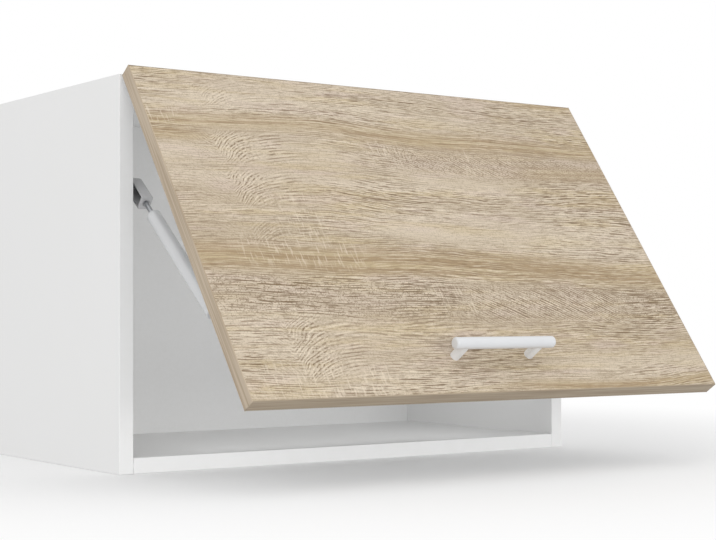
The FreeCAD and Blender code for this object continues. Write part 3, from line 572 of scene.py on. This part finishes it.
countersunk = screw_tree("countersunk_screw", False)
pan_headed = screw_tree("pan_headed_screw", True)
screw_groups = [
    ("fixed_leaf_screws", "carcass", rearward, LEAF_SHANK, 0.0),
    ("strut_plate_screws", "carcass", sideward, PLATE_SHANK, 0.0),
    ("flap_leaf_screws", "flap", through_flap, LEAF_SHANK, 0.0),
    ("strut_bracket_screws", "flap", through_flap, PLATE_SHANK, 0.0),
    ("handle_screws", "flap", through_flap, HANDLE_SHANK, HANDLE_HEAD),
]
for node, body, drive, shank_radius, head_height in screw_groups:
    starts = []
    for points in separate_solids(node):
        direction = drive(points)
        head_face, length, head_radius = end_of(points, direction)
        starts.append((head_face + direction * head_height, direction))
    sizes = {"Head Radius": head_radius, "Shank Radius": shank_radius,
             "Length": length - head_height, "Head Height": head_height}
    screws = grown(pan_headed if head_height else countersunk, starts, sizes, zinc)
    seat(screws, body, [node], "zinc", zinc)


# Hinges, wall plates and brackets
# Narrow leaf hinges of zinc-plated strip, rolled into knuckles round a steel pin, carry the flap.
# Punched plates on the side panels and bent brackets on the flap hold the struts' ends.
PLATE_EDGE_ROUNDING = 0.0003


def sharp_edge(edge, low, high):
    return len(edge.link_faces) == 2 and edge.calc_face_angle() > SHARP_ANGLE


for node in ("left_hinge_fixed_leaf", "right_hinge_fixed_leaf", "hinge_pins",
             "left_hinge_flap_leaf", "right_hinge_flap_leaf"):
    dress(node, zinc)
pins = rounded_copy("strut_flap_pins", PLATE_EDGE_ROUNDING, sharp_edge)
seat(pins, "flap", ["strut_flap_pins"], "zinc", zinc)
for side in ("left", "right"):
    wall_plate = rounded_copy(side + "_strut_wall_plate", PLATE_EDGE_ROUNDING, sharp_edge)
    seat(wall_plate, "carcass", [side + "_strut_wall_plate"], "zinc", zinc)
    bracket = rounded_copy(side + "_strut_flap_bracket", PLATE_EDGE_ROUNDING, sharp_edge, flap_turn)
    seat(bracket, "flap", [side + "_strut_flap_bracket"], "zinc", zinc)


# Flap
# A 16 mm chipboard panel, faced with a printed and embossed oak decor in front and white melamine behind.
# Its grain lies along the cabinet, and all four edges carry a plastic strip in a browner print of the wood.
# The strips on the top and bottom edges are drawn darker than the side strips, as painted shade for the
# downward-facing bottom edge.
FLAP_EDGE_ROUNDING = 0.0002
FLAP_BAND_ROUNDING = 0.0007
# Just past the flap's ends
LEFT = -0.34
RIGHT = 0.34
ROLL_SCALE = (2.6, 1, 7.0)
ROLL = 0.05
WAVER_SCALE = (16, 1, 40)
LINE_WAVER = 0.003
DIP_WAVER = 0.02
DIP_RAGGEDNESS = 0.06
LINE_PITCH = 0.0027
DIP_PITCH = 0.0040
DIP_PLACE_X = -0.232
DIP_DEPTH = 0.044
DIP_REACH = 0.027
DIP_ROUNDING = 0.004
DIP_LEFT_SHARE = 0.35
# Upper and lower end of each dip, and how plainly it shows
DIP_STRETCHES = [(0.022, 0.052, 0.6), (0.087, 0.126, 1.0), (0.138, 0.181, 1.0),
                 (0.202, 0.228, 0.7), (0.308, 0.375, 1.0)]
HATCH_PITCH = 0.0034
HATCH_SLANT = -0.5
# Stretches of the decor: left, right, upper and lower end, and how soft they are across and down
TAN_BANDS = [(LEFT, RIGHT, 0.064, 0.082), (LEFT, RIGHT, 0.230, 0.258), (LEFT, -0.24, 0.082, 0.098),
             (0.16, RIGHT, 0.100, 0.118, 0.05), (0.22, RIGHT, 0.147, 0.157, 0.04),
             (0.02, RIGHT, 0.380, 0.391, 0.06, 0.004), (0.22, RIGHT, -0.02, 0.006, 0.04, 0.004)]
PALE_BANDS = [(-0.25, 0.18, 0.034, 0.050, 0.06), (-0.08, RIGHT, 0.192, 0.214, 0.08),
              (LEFT, -0.14, 0.300, 0.314, 0.06), (0.10, RIGHT, 0.348, 0.376, 0.06),
              (-0.02, 0.16, 0.120, 0.138, 0.06)]
SMOOTH_PATCHES = [(-0.26, -0.06, 0.072, 0.130, 0.04, 0.016), (LEFT, -0.245, 0.100, 0.160, 0.02, 0.012)]
STREAKED_PATCHES = [(0.02, 0.30, 0.140, 0.156, 0.05), (-0.02, 0.12, 0.150, 0.172, 0.04),
                    (0.22, RIGHT, 0.302, 0.316, 0.02)]
SAWN_PATCHES = [(-0.25, -0.11, 0.218, 0.252, 0.02), (-0.19, -0.14, 0.165, 0.220, 0.015),
                (-0.31, -0.26, 0.050, 0.078, 0.015), (-0.28, -0.12, 0.357, 0.40, 0.02),
                (-0.04, 0.015, 0.084, 0.114, 0.012), (0.08, 0.105, 0.084, 0.114, 0.012),
                (-0.04, 0.015, 0.266, 0.304, 0.012)]
FLECK_BAND = (LEFT, RIGHT, 0.266, 0.306)
ROSY_PATCH = (-0.03, RIGHT, 0.088, 0.117, 0.04)
HATCHED_PATCH = (0.0, 0.22, 0.268, 0.308)
OAK_PALE = srgb(203, 188, 167)
OAK_DEEP = srgb(181, 164, 139)
OAK_GOLD = srgb(193, 174, 136)
OAK_BLUSH = srgb(203, 185, 171)
OAK_TAN = srgb(161, 138, 104)
OAK_GREY = srgb(168, 150, 129)
OAK_ROSE = srgb(184, 166, 149)
OAK_CREAM = srgb(226, 213, 192)
OAK_SILK = srgb(212, 198, 178)
OAK_DASH = srgb(116, 94, 66)
GRAIN_ALONG = (9, 500, 500)
GRAIN_DOWN = (500, 500, 9)


def shut_flap_place(nodes):
    """Object coordinates on the shut flap, measured from the hinge."""
    return nodes.place(location=hinge_line, rotation=(rest_opening, 0, 0), kind="TEXTURE")


class OakFace:
    """Draws on the flap's face. Places are measured on the shut flap: across from its middle, and down
    from the hinge."""

    def __init__(self, nodes):
        self.nodes = nodes
        self.spot = shut_flap_place(nodes)
        parts = nodes.add("ShaderNodeSeparateXYZ", {"Vector": self.spot}).outputs
        self.across = parts["X"]
        self.down = nodes.times(parts["Z"], -1.0)
        self.waver = self.drift(WAVER_SCALE)
        self.rolling = nodes.times(self.drift(ROLL_SCALE), ROLL, self.down)
        self.level = nodes.times(self.waver, LINE_WAVER, self.rolling)
        self.tan = self.zones(*TAN_BANDS)
        tan_streaks = self.streaks(self.rolling, along=4.0, cross=230.0, seed=3.0)
        self.tan_lines = nodes.spread(tan_streaks, 0.40, 0.60)
        self.pale = self.zones(*PALE_BANDS)
        self.smooth = self.zones(*SMOOTH_PATCHES)
        self.flecks = self.zones(FLECK_BAND)
        self.rosy = self.zones(ROSY_PATCH)

    def cloud(self, scale, detail, location=(0, 0, 0)):
        """Noise in soft patches, scaled along and down the face."""
        return self.nodes.noise(self.nodes.remap(self.spot, scale, location), 1.0, detail)

    def drift(self, scale):
        """A slow wander to both sides of zero."""
        return self.nodes.math("SUBTRACT", self.cloud(scale, 1.0), 0.5)

    def zone(self, left, right, high, low, soft_across=0.03, soft_down=0.010):
        """A soft-edged stretch of the face, which rolls a little up and down."""
        nodes = self.nodes
        sides = [nodes.spread(self.across, left - soft_across, left + soft_across),
                 nodes.spread(self.across, right + soft_across, right - soft_across),
                 nodes.spread(self.rolling, high - soft_down, high + soft_down),
                 nodes.spread(self.rolling, low + soft_down, low - soft_down)]
        return nodes.times(nodes.times(sides[0], sides[1]), nodes.times(sides[2], sides[3]))

    def zones(self, *stretches):
        return self.nodes.most(*[self.zone(*stretch) for stretch in stretches])

    def streaks(self, lines, along, cross, seed, detail=2.0, down=20.0):
        """Noise drawn out along the grain, which follows some lines. along, cross and down are scales."""
        nodes = self.nodes
        where = {"X": nodes.times(self.across, along), "Y": nodes.times(lines, cross),
                 "Z": nodes.times(self.down, down, seed)}
        return nodes.noise(nodes.add("ShaderNodeCombineXYZ", where).outputs[0], 1.0, detail)

    def fine_lines(self, lines, pitch, drift, dash, seed=2.0, dash_down=20.0):
        """Thin dark and pale lines a set pitch apart, which drift and break off into dashes."""
        nodes = self.nodes
        evenly = nodes.math("DIVIDE", lines, pitch)
        turns = nodes.times(self.streaks(lines, along=14.0, cross=120.0, seed=seed), drift, evenly)
        wave = nodes.math("SINE", nodes.times(turns, 2 * math.pi))
        breaks = {"along": dash, "cross": 420.0, "detail": 1.0, "down": dash_down}
        dashes = nodes.spread(self.streaks(lines, seed=seed + 3.0, **breaks), 0.42, 0.58)
        glints = nodes.spread(self.streaks(lines, seed=seed + 6.0, **breaks), 0.40, 0.58)
        return (nodes.times(nodes.spread(wave, 0.1, 0.9), dashes),
                nodes.times(nodes.spread(wave, -0.2, -0.95), glints))


def oak_ground(face):
    """The colour under the lines, in long soft bands and patches."""
    nodes = face.nodes
    broad = nodes.spread(face.cloud((1.8, 1, 30), 3.0), 0.36, 0.64)
    warm = nodes.spread(face.cloud((5.0, 1, 70), 2.0, (4, 0, 9)), 0.46, 0.66)
    blush = nodes.spread(face.cloud((11, 1, 60), 2.0, (7, 0, 2)), 0.50, 0.68)
    tan = nodes.times(face.tan, nodes.times(face.tan_lines, 0.75, 0.2))
    return nodes.layered(nodes.blend(broad, OAK_DEEP, OAK_PALE),
                         (nodes.times(warm, 0.6), OAK_GOLD),
                         (nodes.times(blush, 0.55), OAK_BLUSH),
                         (tan, OAK_TAN),
                         (nodes.times(face.pale, 0.36), OAK_CREAM),
                         (nodes.times(face.smooth, 0.35), OAK_SILK),
                         (nodes.times(face.flecks, 0.28), OAK_GREY),
                         (nodes.times(face.rosy, 0.5), OAK_ROSE))


def oak_dips(face):
    """On the left, in a few stretches, the grain comes down steeply towards one place. Returns how far a
    spot belongs to a dip, how far it lies beside that place, and the height that its lines follow."""
    nodes = face.nodes
    beside = nodes.math("SUBTRACT", nodes.times(face.waver, DIP_WAVER, face.across), DIP_PLACE_X)
    away = nodes.math("SQRT", nodes.times(beside, beside, DIP_ROUNDING ** 2))
    fall = nodes.math("EXPONENT", nodes.math("DIVIDE", away, -DIP_REACH))
    stretches = [nodes.times(face.zone(LEFT, RIGHT, high, low, 0.03, 0.008), share)
                 for high, low, share in DIP_STRETCHES]
    ragged = nodes.times(face.waver, DIP_RAGGEDNESS, beside)
    left_part = nodes.times(nodes.spread(ragged, -0.055, -0.020),
                            nodes.spread(ragged, 0.020, 0.0, 0.0, DIP_LEFT_SHARE))
    right_part = nodes.times(nodes.spread(ragged, -0.012, 0.010), nodes.spread(beside, 0.130, 0.050))
    dip = nodes.times(nodes.most(*stretches), nodes.most(left_part, right_part))
    return dip, beside, nodes.times(fall, -DIP_DEPTH, face.level)


def oak_lines(face):
    """The dark and the pale lines: level ones, those of the dips, and slanted ones in flecked stretches."""
    nodes = face.nodes
    patches = nodes.spread(face.cloud((6, 1, 18), 1.0, (2, 0, 1)), 0.35, 0.65, 0.6, 1.1)
    strength = nodes.times(face.zones(*STREAKED_PATCHES), 0.3, patches)
    strength = nodes.times(nodes.most(face.pale, face.smooth), -0.3, strength)
    dashes, glints = face.fine_lines(face.level, LINE_PITCH, drift=3.0, dash=62.0)
    pores = face.streaks(face.level, along=90.0, cross=700.0, seed=7.0, detail=1.0)
    cracks = face.streaks(face.rolling, along=9.0, cross=260.0, seed=11.0)
    gaps = nodes.most(nodes.spread(pores, 0.46, 0.36), nodes.spread(cracks, 0.44, 0.30))
    dashes = nodes.most(dashes, nodes.times(gaps, 0.6))

    # A dip has short ticks near its lowest place and long dashes further on
    dip, beside, dipped = oak_dips(face)
    ticks = face.fine_lines(dipped, DIP_PITCH, drift=1.8, dash=260.0, dash_down=320.0)
    runs = face.fine_lines(dipped, DIP_PITCH, drift=1.0, dash=70.0)
    near = nodes.spread(beside, 0.065, 0.030)
    dip_dashes, dip_glints = [nodes.times(near, nodes.math("SUBTRACT", tick, run), run)
                              for tick, run in zip(ticks, runs)]
    dark = nodes.most(nodes.times(dashes, nodes.times(dip, -0.5, strength)), nodes.times(dip, dip_dashes))
    pale = nodes.most(nodes.times(glints, nodes.times(dip, -0.8, strength)), nodes.times(dip, dip_glints))

    # Slanted hatching takes the place of most of the level lines
    hatched = nodes.most(face.zone(*HATCHED_PATCH), nodes.times(face.rosy, 0.7))
    slanted = nodes.times(face.across, HATCH_SLANT, face.level)
    hatching = face.fine_lines(slanted, HATCH_PITCH, drift=1.0, dash=90.0, seed=20.0)
    unhatched = nodes.times(hatched, -0.6, 1.0)
    return [nodes.most(nodes.times(lines, unhatched), nodes.times(hatched, hatch))
            for lines, hatch in zip((dark, pale), hatching)]


def oak_decor():
    """Rough-sawn pale oak: long tan and grey bands, fine dashes that come down with the grain
    on the left, flecked stretches and short pale saw marks across the grain."""
    made, nodes, surface = finish("oak_decor")
    face = OakFace(nodes)
    dark, pale = oak_lines(face)
    darkness = nodes.times(face.flecks, 0.25, 0.88)
    grit = nodes.spread(nodes.noise(face.spot, 750.0, 1.0), 0.5, 0.3)
    gritty = nodes.times(nodes.most(face.flecks, face.rosy), 0.45, 0.3)
    long_streaks = nodes.blend(face.tan_lines, OAK_GOLD, OAK_TAN)
    cuts = nodes.spread(face.cloud((420, 1, 60), 1.0), 0.54, 0.66)
    saw_marks = nodes.times(cuts, face.zones(*SAWN_PATCHES))
    wood = nodes.layered(oak_ground(face),
                         (nodes.times(dark, darkness), OAK_DASH),
                         (nodes.times(pale, 0.75), OAK_CREAM),
                         (nodes.times(grit, gritty), OAK_DASH),
                         (nodes.times(face.tan, 0.4), long_streaks),
                         (nodes.times(saw_marks, 0.42), OAK_CREAM))
    nodes.feed(surface.inputs["Base Color"], wood)
    nodes.feed(surface.inputs["Roughness"], nodes.spread(dark, 0.0, 1.0, 0.48, 0.62))
    relief = nodes.math("SUBTRACT", nodes.times(pale, 0.5), dark)
    nodes.feed(surface.inputs["Normal"], nodes.bump(relief, 0.3, 0.0003))
    return made


def oak_band(name, stretch, dark, light):
    """The same wood printed on a strip, browner, with its grain along the strip."""
    made, nodes, surface = finish(name, Roughness=0.5)
    spot = shut_flap_place(nodes)
    grain = nodes.noise(nodes.remap(spot, stretch), 1.0, 3.0)
    tone = nodes.noise(spot, 7.0, 1.0)
    share = nodes.times(tone, 0.4, nodes.spread(grain, 0.36, 0.64, 0.0, 0.8))
    nodes.feed(surface.inputs["Base Color"], nodes.blend(share, dark, light))
    nodes.feed(surface.inputs["Normal"], nodes.bump(grain, 0.2, 0.0002))
    return made


panel = rounded_copy("flap_panel", FLAP_EDGE_ROUNDING, corner_edge, flap_turn)
for face in panel.polygons:
    face.material_index = int(face.normal.dot(flap_front) < -FACING)
seat(panel, "flap", ["flap_panel"], "oak_board", oak_decor(), melamine)
# The strips along the top and bottom take a darker copy of the print. This is painted shade for the bottom
# edge, which faces down.
band_along_painted_shade = oak_band("oak_band_along_painted_shade", GRAIN_ALONG, srgb(140, 123, 101), srgb(164, 149, 127))
band_down = oak_band("oak_band_down", GRAIN_DOWN, srgb(160, 141, 117), srgb(190, 174, 152))
for node, axis, side, made in (("flap_top_band", 2, 1, band_along_painted_shade), ("flap_bottom_band", 2, 0, band_along_painted_shade),
                               ("flap_left_band", 0, 0, band_down), ("flap_right_band", 0, 1, band_down)):
    strip = rounded_copy(node, FLAP_BAND_ROUNDING, outer_edge(axis, side), flap_turn)
    seat(strip, "flap", [node], "oak_band", made)


# Bumpers
# Small clear pads of soft plastic with an adhesive back.
# They are stuck behind the flap's lower corners, where it meets the side panels.
clear_pad = mottled("soft_pad", srgb(225, 227, 228), srgb(240, 241, 241), tone=(500.0, 2.0),
                    Roughness=0.35, Transmission_Weight=0.4)
dress("flap_bumpers", clear_pad)


# Handle
# A round aluminium bar with rounded ends on two turned posts, all powder-coated white.
# The posts are cut hollow to sit on the bar and are held from behind by a screw each.
HANDLE_END_ROUNDING = 0.0025
CORNER_STEPS = 6
TURNED_SIDES = 64


def powder_coat(name, dark, light):
    """Satin white powder coat with its slight orange peel."""
    return mottled(name, dark, light, tone=(60.0, 2.0), rough=(0.34, 0.42),
                   texture=(620.0, 1.0, 0.15, 0.0003), Coat_Weight=0.4, Coat_Roughness=0.3)


def points_of(node):
    return [vert.co.copy() for vert in frame["nodes"][node].data.vertices]


def rounded_corner(along, radius, rounding, rising):
    """Points of a turned outline round a corner, from the end face to the side or back."""
    turns = [math.pi / 2 * step / CORNER_STEPS for step in range(CORNER_STEPS + 1)]
    arc = [(rounding * (1 - math.cos(turn)), radius - rounding * (1 - math.sin(turn))) for turn in turns]
    return [(along + a, r) for a, r in arc] if rising else [(along - a, r) for a, r in reversed(arc)]


def turned(outline, start, direction):
    """A piece turned on a lathe and closed at both ends. Its outline is given as distances along its axis,
    each with a radius."""
    direction = direction.normalized()
    across = direction.orthogonal().normalized()
    square = direction.cross(across)
    angles = [2 * math.pi * step / TURNED_SIDES for step in range(TURNED_SIDES)]
    spokes = [across * math.cos(angle) + square * math.sin(angle) for angle in angles]
    work = bmesh.new()
    rings = []
    for along, radius in outline:
        centre = start + direction * along
        rings.append([work.verts.new(centre + spoke * radius) for spoke in spokes])
    for low, high in zip(rings, rings[1:]):
        for step in range(TURNED_SIDES):
            after = (step + 1) % TURNED_SIDES
            work.faces.new((low[step], low[after], high[after], high[step]))
    work.faces.new(list(reversed(rings[0])))
    work.faces.new(rings[-1])
    bmesh.ops.recalc_face_normals(work, faces=work.faces)
    for face in work.faces:
        face.smooth = True
    for edge in work.edges:
        edge.smooth = edge.calc_face_angle() < SHARP_ANGLE
    mesh = bpy.data.meshes.new("turned")
    work.to_mesh(mesh)
    work.free()
    return plain(mesh, ("WEIGHTED_NORMAL", {"keep_sharp": True}))


def round_bar(node, direction, rounding):
    """A plain round bar in a node's place, with rounded ends."""
    start, length, radius = end_of(points_of(node), direction)
    outline = rounded_corner(0.0, radius, rounding, True) + rounded_corner(length, radius, rounding, False)
    return turned(outline, start, direction)


bar_coat = powder_coat("powder_coat_bar", srgb(213, 215, 217), srgb(218, 219, 221))
# The posts carry a lighter copy of the bar's white coat. This is painted light, making up for the light
# they lack between the flap and the bar.
post_coat_painted_light = powder_coat("powder_coat_posts_painted_light", srgb(231, 233, 235), srgb(236, 237, 239))
bar = round_bar("handle_bar", Vector((1, 0, 0)), HANDLE_END_ROUNDING)
seat(bar, "flap", ["handle_bar"], "handle_white", bar_coat)
for node in ("handle_left_post", "handle_right_post"):
    seat(rounded_copy(node, turn=flap_turn), "flap", [node], "handle_white", post_coat_painted_light)


# Gas struts
# A silver-enamelled steel tube with a chromed rod. A grey moulded fitting, screwed to the tube's neck,
# turns on a stud at the side panel, and a moulded eye on the rod turns on the flap bracket's pin.
FITTING_EDGE_ROUNDING = 0.0004
FITTING_FOOT = 0.011
FITTING_END_WALL = 0.0025
NECK_HOLE_RADIUS = 0.0035
NECK_HOLE_STOP = 0.0016
NECK_MOUTH_RADIUS = 0.0045
TUBE_SHOULDER = 0.0025
TUBE_LIP = 0.0012
TUBE_CRIMP = 0.0005
CRIMP_PLACE = 0.007
# Places along the crimp, in widths of the tube's lip, and how deep it is there
CRIMP_STEPS = [(0.0, 0.0), (0.5, 0.8), (1.0, 1.0), (1.5, 0.8), (2.0, 0.0)]
MOUTH_DEPTH = 0.004
ROD_END_ROUNDING = 0.0004


def grey_moulding():
    """Glass-filled grey plastic with a fine eroded texture."""
    made, nodes, surface = finish("grey_moulding")
    spot = nodes.place()
    grit = nodes.noise(spot, 1500.0, 2.0)
    flow = nodes.noise(spot, 70.0, 2.0)
    nodes.feed(surface.inputs["Base Color"], nodes.blend(flow, srgb(192, 192, 193), srgb(202, 202, 203)))
    nodes.feed(surface.inputs["Roughness"], nodes.spread(grit, *NOISE_RANGE, 0.45, 0.62))
    nodes.feed(surface.inputs["Normal"], nodes.bump(grit, 0.2, 0.0002))
    return made


enamel = mottled("strut_enamel", srgb(204, 205, 206), srgb(214, 215, 216), tone=(30.0, 1.0),
                 rough=(0.28, 0.34), Metallic=0.2)
chrome = mottled("hard_chrome", srgb(190, 192, 196), srgb(202, 204, 207), tone=(1.0, 2.0),
                 rough=(0.08, 0.16), stretch=(200, 900, 900), Metallic=1.0)
seal = mottled("black_seal", srgb(28, 28, 29), srgb(44, 44, 45), tone=(900.0, 2.0),
               texture=(900.0, 2.0, 0.1, 0.0002), Roughness=0.6)
grey_plastic = grey_moulding()


def dress_strut(side):
    """Finishes one strut. Tube, neck, fitting and stud move with the cylinder, and the eye with the rod."""
    cylinder = side + "_strut_cylinder"
    rod = side + "_strut_rod"
    up_strut = Vector(joint_named(side + "_strut_slide")["axis"])
    mouth, tube_length, tube_radius = end_of(points_of(side + "_strut_tube"), up_strut)
    seal_radius = end_of(points_of(side + "_strut_rod_guide"), up_strut)[2]
    neck_start = end_of(points_of(side + "_strut_neck"), up_strut)[0]

    def from_neck(vert):
        """How far a point lies along the neck's axis and beside it."""
        offset = vert.co - neck_start
        step = offset.dot(up_strut)
        return step, (offset - up_strut * step).length

    def hollow_to_end_wall(work):
        """Runs the fitting's hollow on to a thin end wall, where the hole for the neck stops short."""
        places = {vert: from_neck(vert) for vert in work.verts}
        end = min(step for step, beside in places.values())
        hole = [vert for vert, (step, beside) in places.items()
                if NECK_HOLE_STOP < step - end < FITTING_FOOT - TOUCH and beside < NECK_HOLE_RADIUS]
        for vert, (step, beside) in places.items():
            if abs(step - end - FITTING_FOOT) < TOUCH:
                vert.co -= up_strut * (FITTING_FOOT - FITTING_END_WALL)
        bmesh.ops.delete(work, geom=hole, context="VERTS")
        bmesh.ops.holes_fill(work, edges=[edge for edge in work.edges if edge.is_boundary])

    def clear_of_neck(edge, low, high):
        """A sharp edge that isn't on the hole for the neck."""
        clear = all(from_neck(vert)[1] > NECK_MOUTH_RADIUS for vert in edge.verts)
        return clear and sharp_edge(edge, low, high)

    crimp = [(CRIMP_PLACE + TUBE_LIP * step, tube_radius - TUBE_CRIMP * depth)
             for step, depth in CRIMP_STEPS]
    outline = [(MOUTH_DEPTH, seal_radius)] + rounded_corner(0.0, tube_radius, TUBE_LIP, True) + crimp
    outline += rounded_corner(tube_length, tube_radius, TUBE_SHOULDER, False)
    tube = turned(outline, mouth, up_strut)
    seat(tube, cylinder, [side + "_strut_tube"], "strut_silver", enamel)
    fitting = rounded_copy(side + "_strut_top_fitting", FITTING_EDGE_ROUNDING, clear_of_neck,
                           reshape=hollow_to_end_wall)
    seat(fitting, cylinder, [side + "_strut_top_fitting"], "grey_plastic", grey_plastic)
    eye = rounded_copy(side + "_strut_rod_eye")
    seat(eye, rod, [side + "_strut_rod_eye"], "grey_plastic", grey_plastic)
    seat(round_bar(rod, up_strut, ROD_END_ROUNDING), rod, [rod], "rod_chrome", chrome)
    neck = round_bar(side + "_strut_neck", up_strut, ROD_END_ROUNDING)
    seat(neck, cylinder, [side + "_strut_neck"], "zinc", zinc)
    stud = rounded_copy(side + "_strut_top_stud", PLATE_EDGE_ROUNDING, sharp_edge)
    seat(stud, cylinder, [side + "_strut_top_stud"], "zinc", zinc)
    dress(side + "_strut_piston", seal)
    dress(side + "_strut_rod_guide", grey_plastic)


for side in ("left", "right"):
    dress_strut(side)


# Studio
# A pale floor under the cabinet, a white surround, three large soft lamps and two weak ones in the opening.
# Far from the cabinet the floor fades to the surround's white, so that no horizon shows.
FLOOR_SIZE = 12.0
FLOOR_CLEAR = 0.0005
FLOOR_GLOW = 0.75
FLOOR_FADE = (0.45, 1.1)
SURROUND_GLOW = 0.8


def seen_directly(nodes):
    """1 for what the camera sees, straight or by a mirror or glass, and 0 for light on matt faces."""
    seen = nodes.add("ShaderNodeLightPath").outputs
    return nodes.most(seen["Is Camera Ray"], seen["Is Glossy Ray"], seen["Is Transmission Ray"])


def floor_white():
    """Matt white, seen with its shadow. It glows softly on the cabinet, as a lit table does."""
    made, nodes, surface = finish("floor_white", Base_Color=srgb(246, 246, 246), Roughness=0.9)
    direct = seen_directly(nodes)
    strength = nodes.spread(direct, 0.0, 1.0, FLOOR_GLOW, 1.0, soft=False)
    glow = nodes.add("ShaderNodeEmission", {"Color": (1, 1, 1, 1), "Strength": strength})
    away = nodes.add("ShaderNodeVectorMath", {0: nodes.place()}, operation="LENGTH").outputs["Value"]
    share = nodes.most(nodes.spread(away, *FLOOR_FADE), nodes.math("SUBTRACT", 1.0, direct))
    mixed = nodes.add("ShaderNodeMixShader", {0: share, 1: surface.outputs[0], 2: glow.outputs[0]})
    nodes.feed(made.node_tree.nodes["Material Output"].inputs["Surface"], mixed.outputs[0])
    return made


floor_mesh = bpy.data.meshes.new("floor")
half = FLOOR_SIZE / 2
corners = [(x, y, -FLOOR_CLEAR) for x, y in ((-half, -half), (half, -half), (half, half), (-half, half))]
floor_mesh.from_pydata(corners, [], [(0, 1, 2, 3)])
floor_mesh.materials.append(floor_white())
floor = placed("floor", floor_mesh)

surround = bpy.data.worlds.new("surround")
surround.use_nodes = True
sky = Nodes(surround.node_tree)
direct = seen_directly(sky)
background = surround.node_tree.nodes["Background"]
sky.feed(background.inputs["Color"], (1, 1, 1, 1))
sky.feed(background.inputs["Strength"], sky.spread(direct, 0.0, 1.0, SURROUND_GLOW, 1.0, soft=False))
bpy.context.scene.world = surround


def soft_lamp(name, place, aim, width, height, power):
    """A rectangular lamp turned to its aim, which the camera doesn't see."""
    lamp = bpy.data.lights.new(name, "AREA")
    lamp.shape = "RECTANGLE"
    lamp.size = width
    lamp.size_y = height
    lamp.energy = power
    holder = placed(name, lamp)
    holder.visible_camera = False
    turn = (aim - Vector(place)).to_track_quat("-Z", "Y")
    holder.matrix_world = Matrix.Translation(place) @ turn.to_matrix().to_4x4()


middle = Vector((0, -0.2, 0.2))
right_wall = Vector((0.28, -0.23, 0.16))
soft_lamp("key", (-2.8, -2.0, 2.2), middle, width=2.4, height=2.4, power=22.0)
soft_lamp("front", (-0.3, -3.2, 0.32), middle, width=3.0, height=0.6, power=20.0)
soft_lamp("top", (0.3, -0.8, 3.2), middle, width=2.6, height=2.6, power=8.0)
soft_lamp("fill", (0.0, -0.285, 0.2), middle, width=0.40, height=0.34, power=0.18)
soft_lamp("side_fill", (0.14, -0.25, 0.22), right_wall, width=0.10, height=0.28, power=0.035)


# Camera
# The photograph's view: level, from the left and a little below the cabinet's middle.
view = bpy.data.cameras.new("camera")
view.sensor_width = 36.0
view.lens = 81.476
view.shift_x = 0.06274
view.shift_y = 0.05818
camera = placed("camera", view)
camera.location = (-1.06111, -1.73155, 0.16277)
camera.rotation_euler = (math.radians(90), 0, math.radians(-34.7188))
bpy.context.scene.camera = camera
bpy.context.scene.view_settings.view_transform = "Standard"
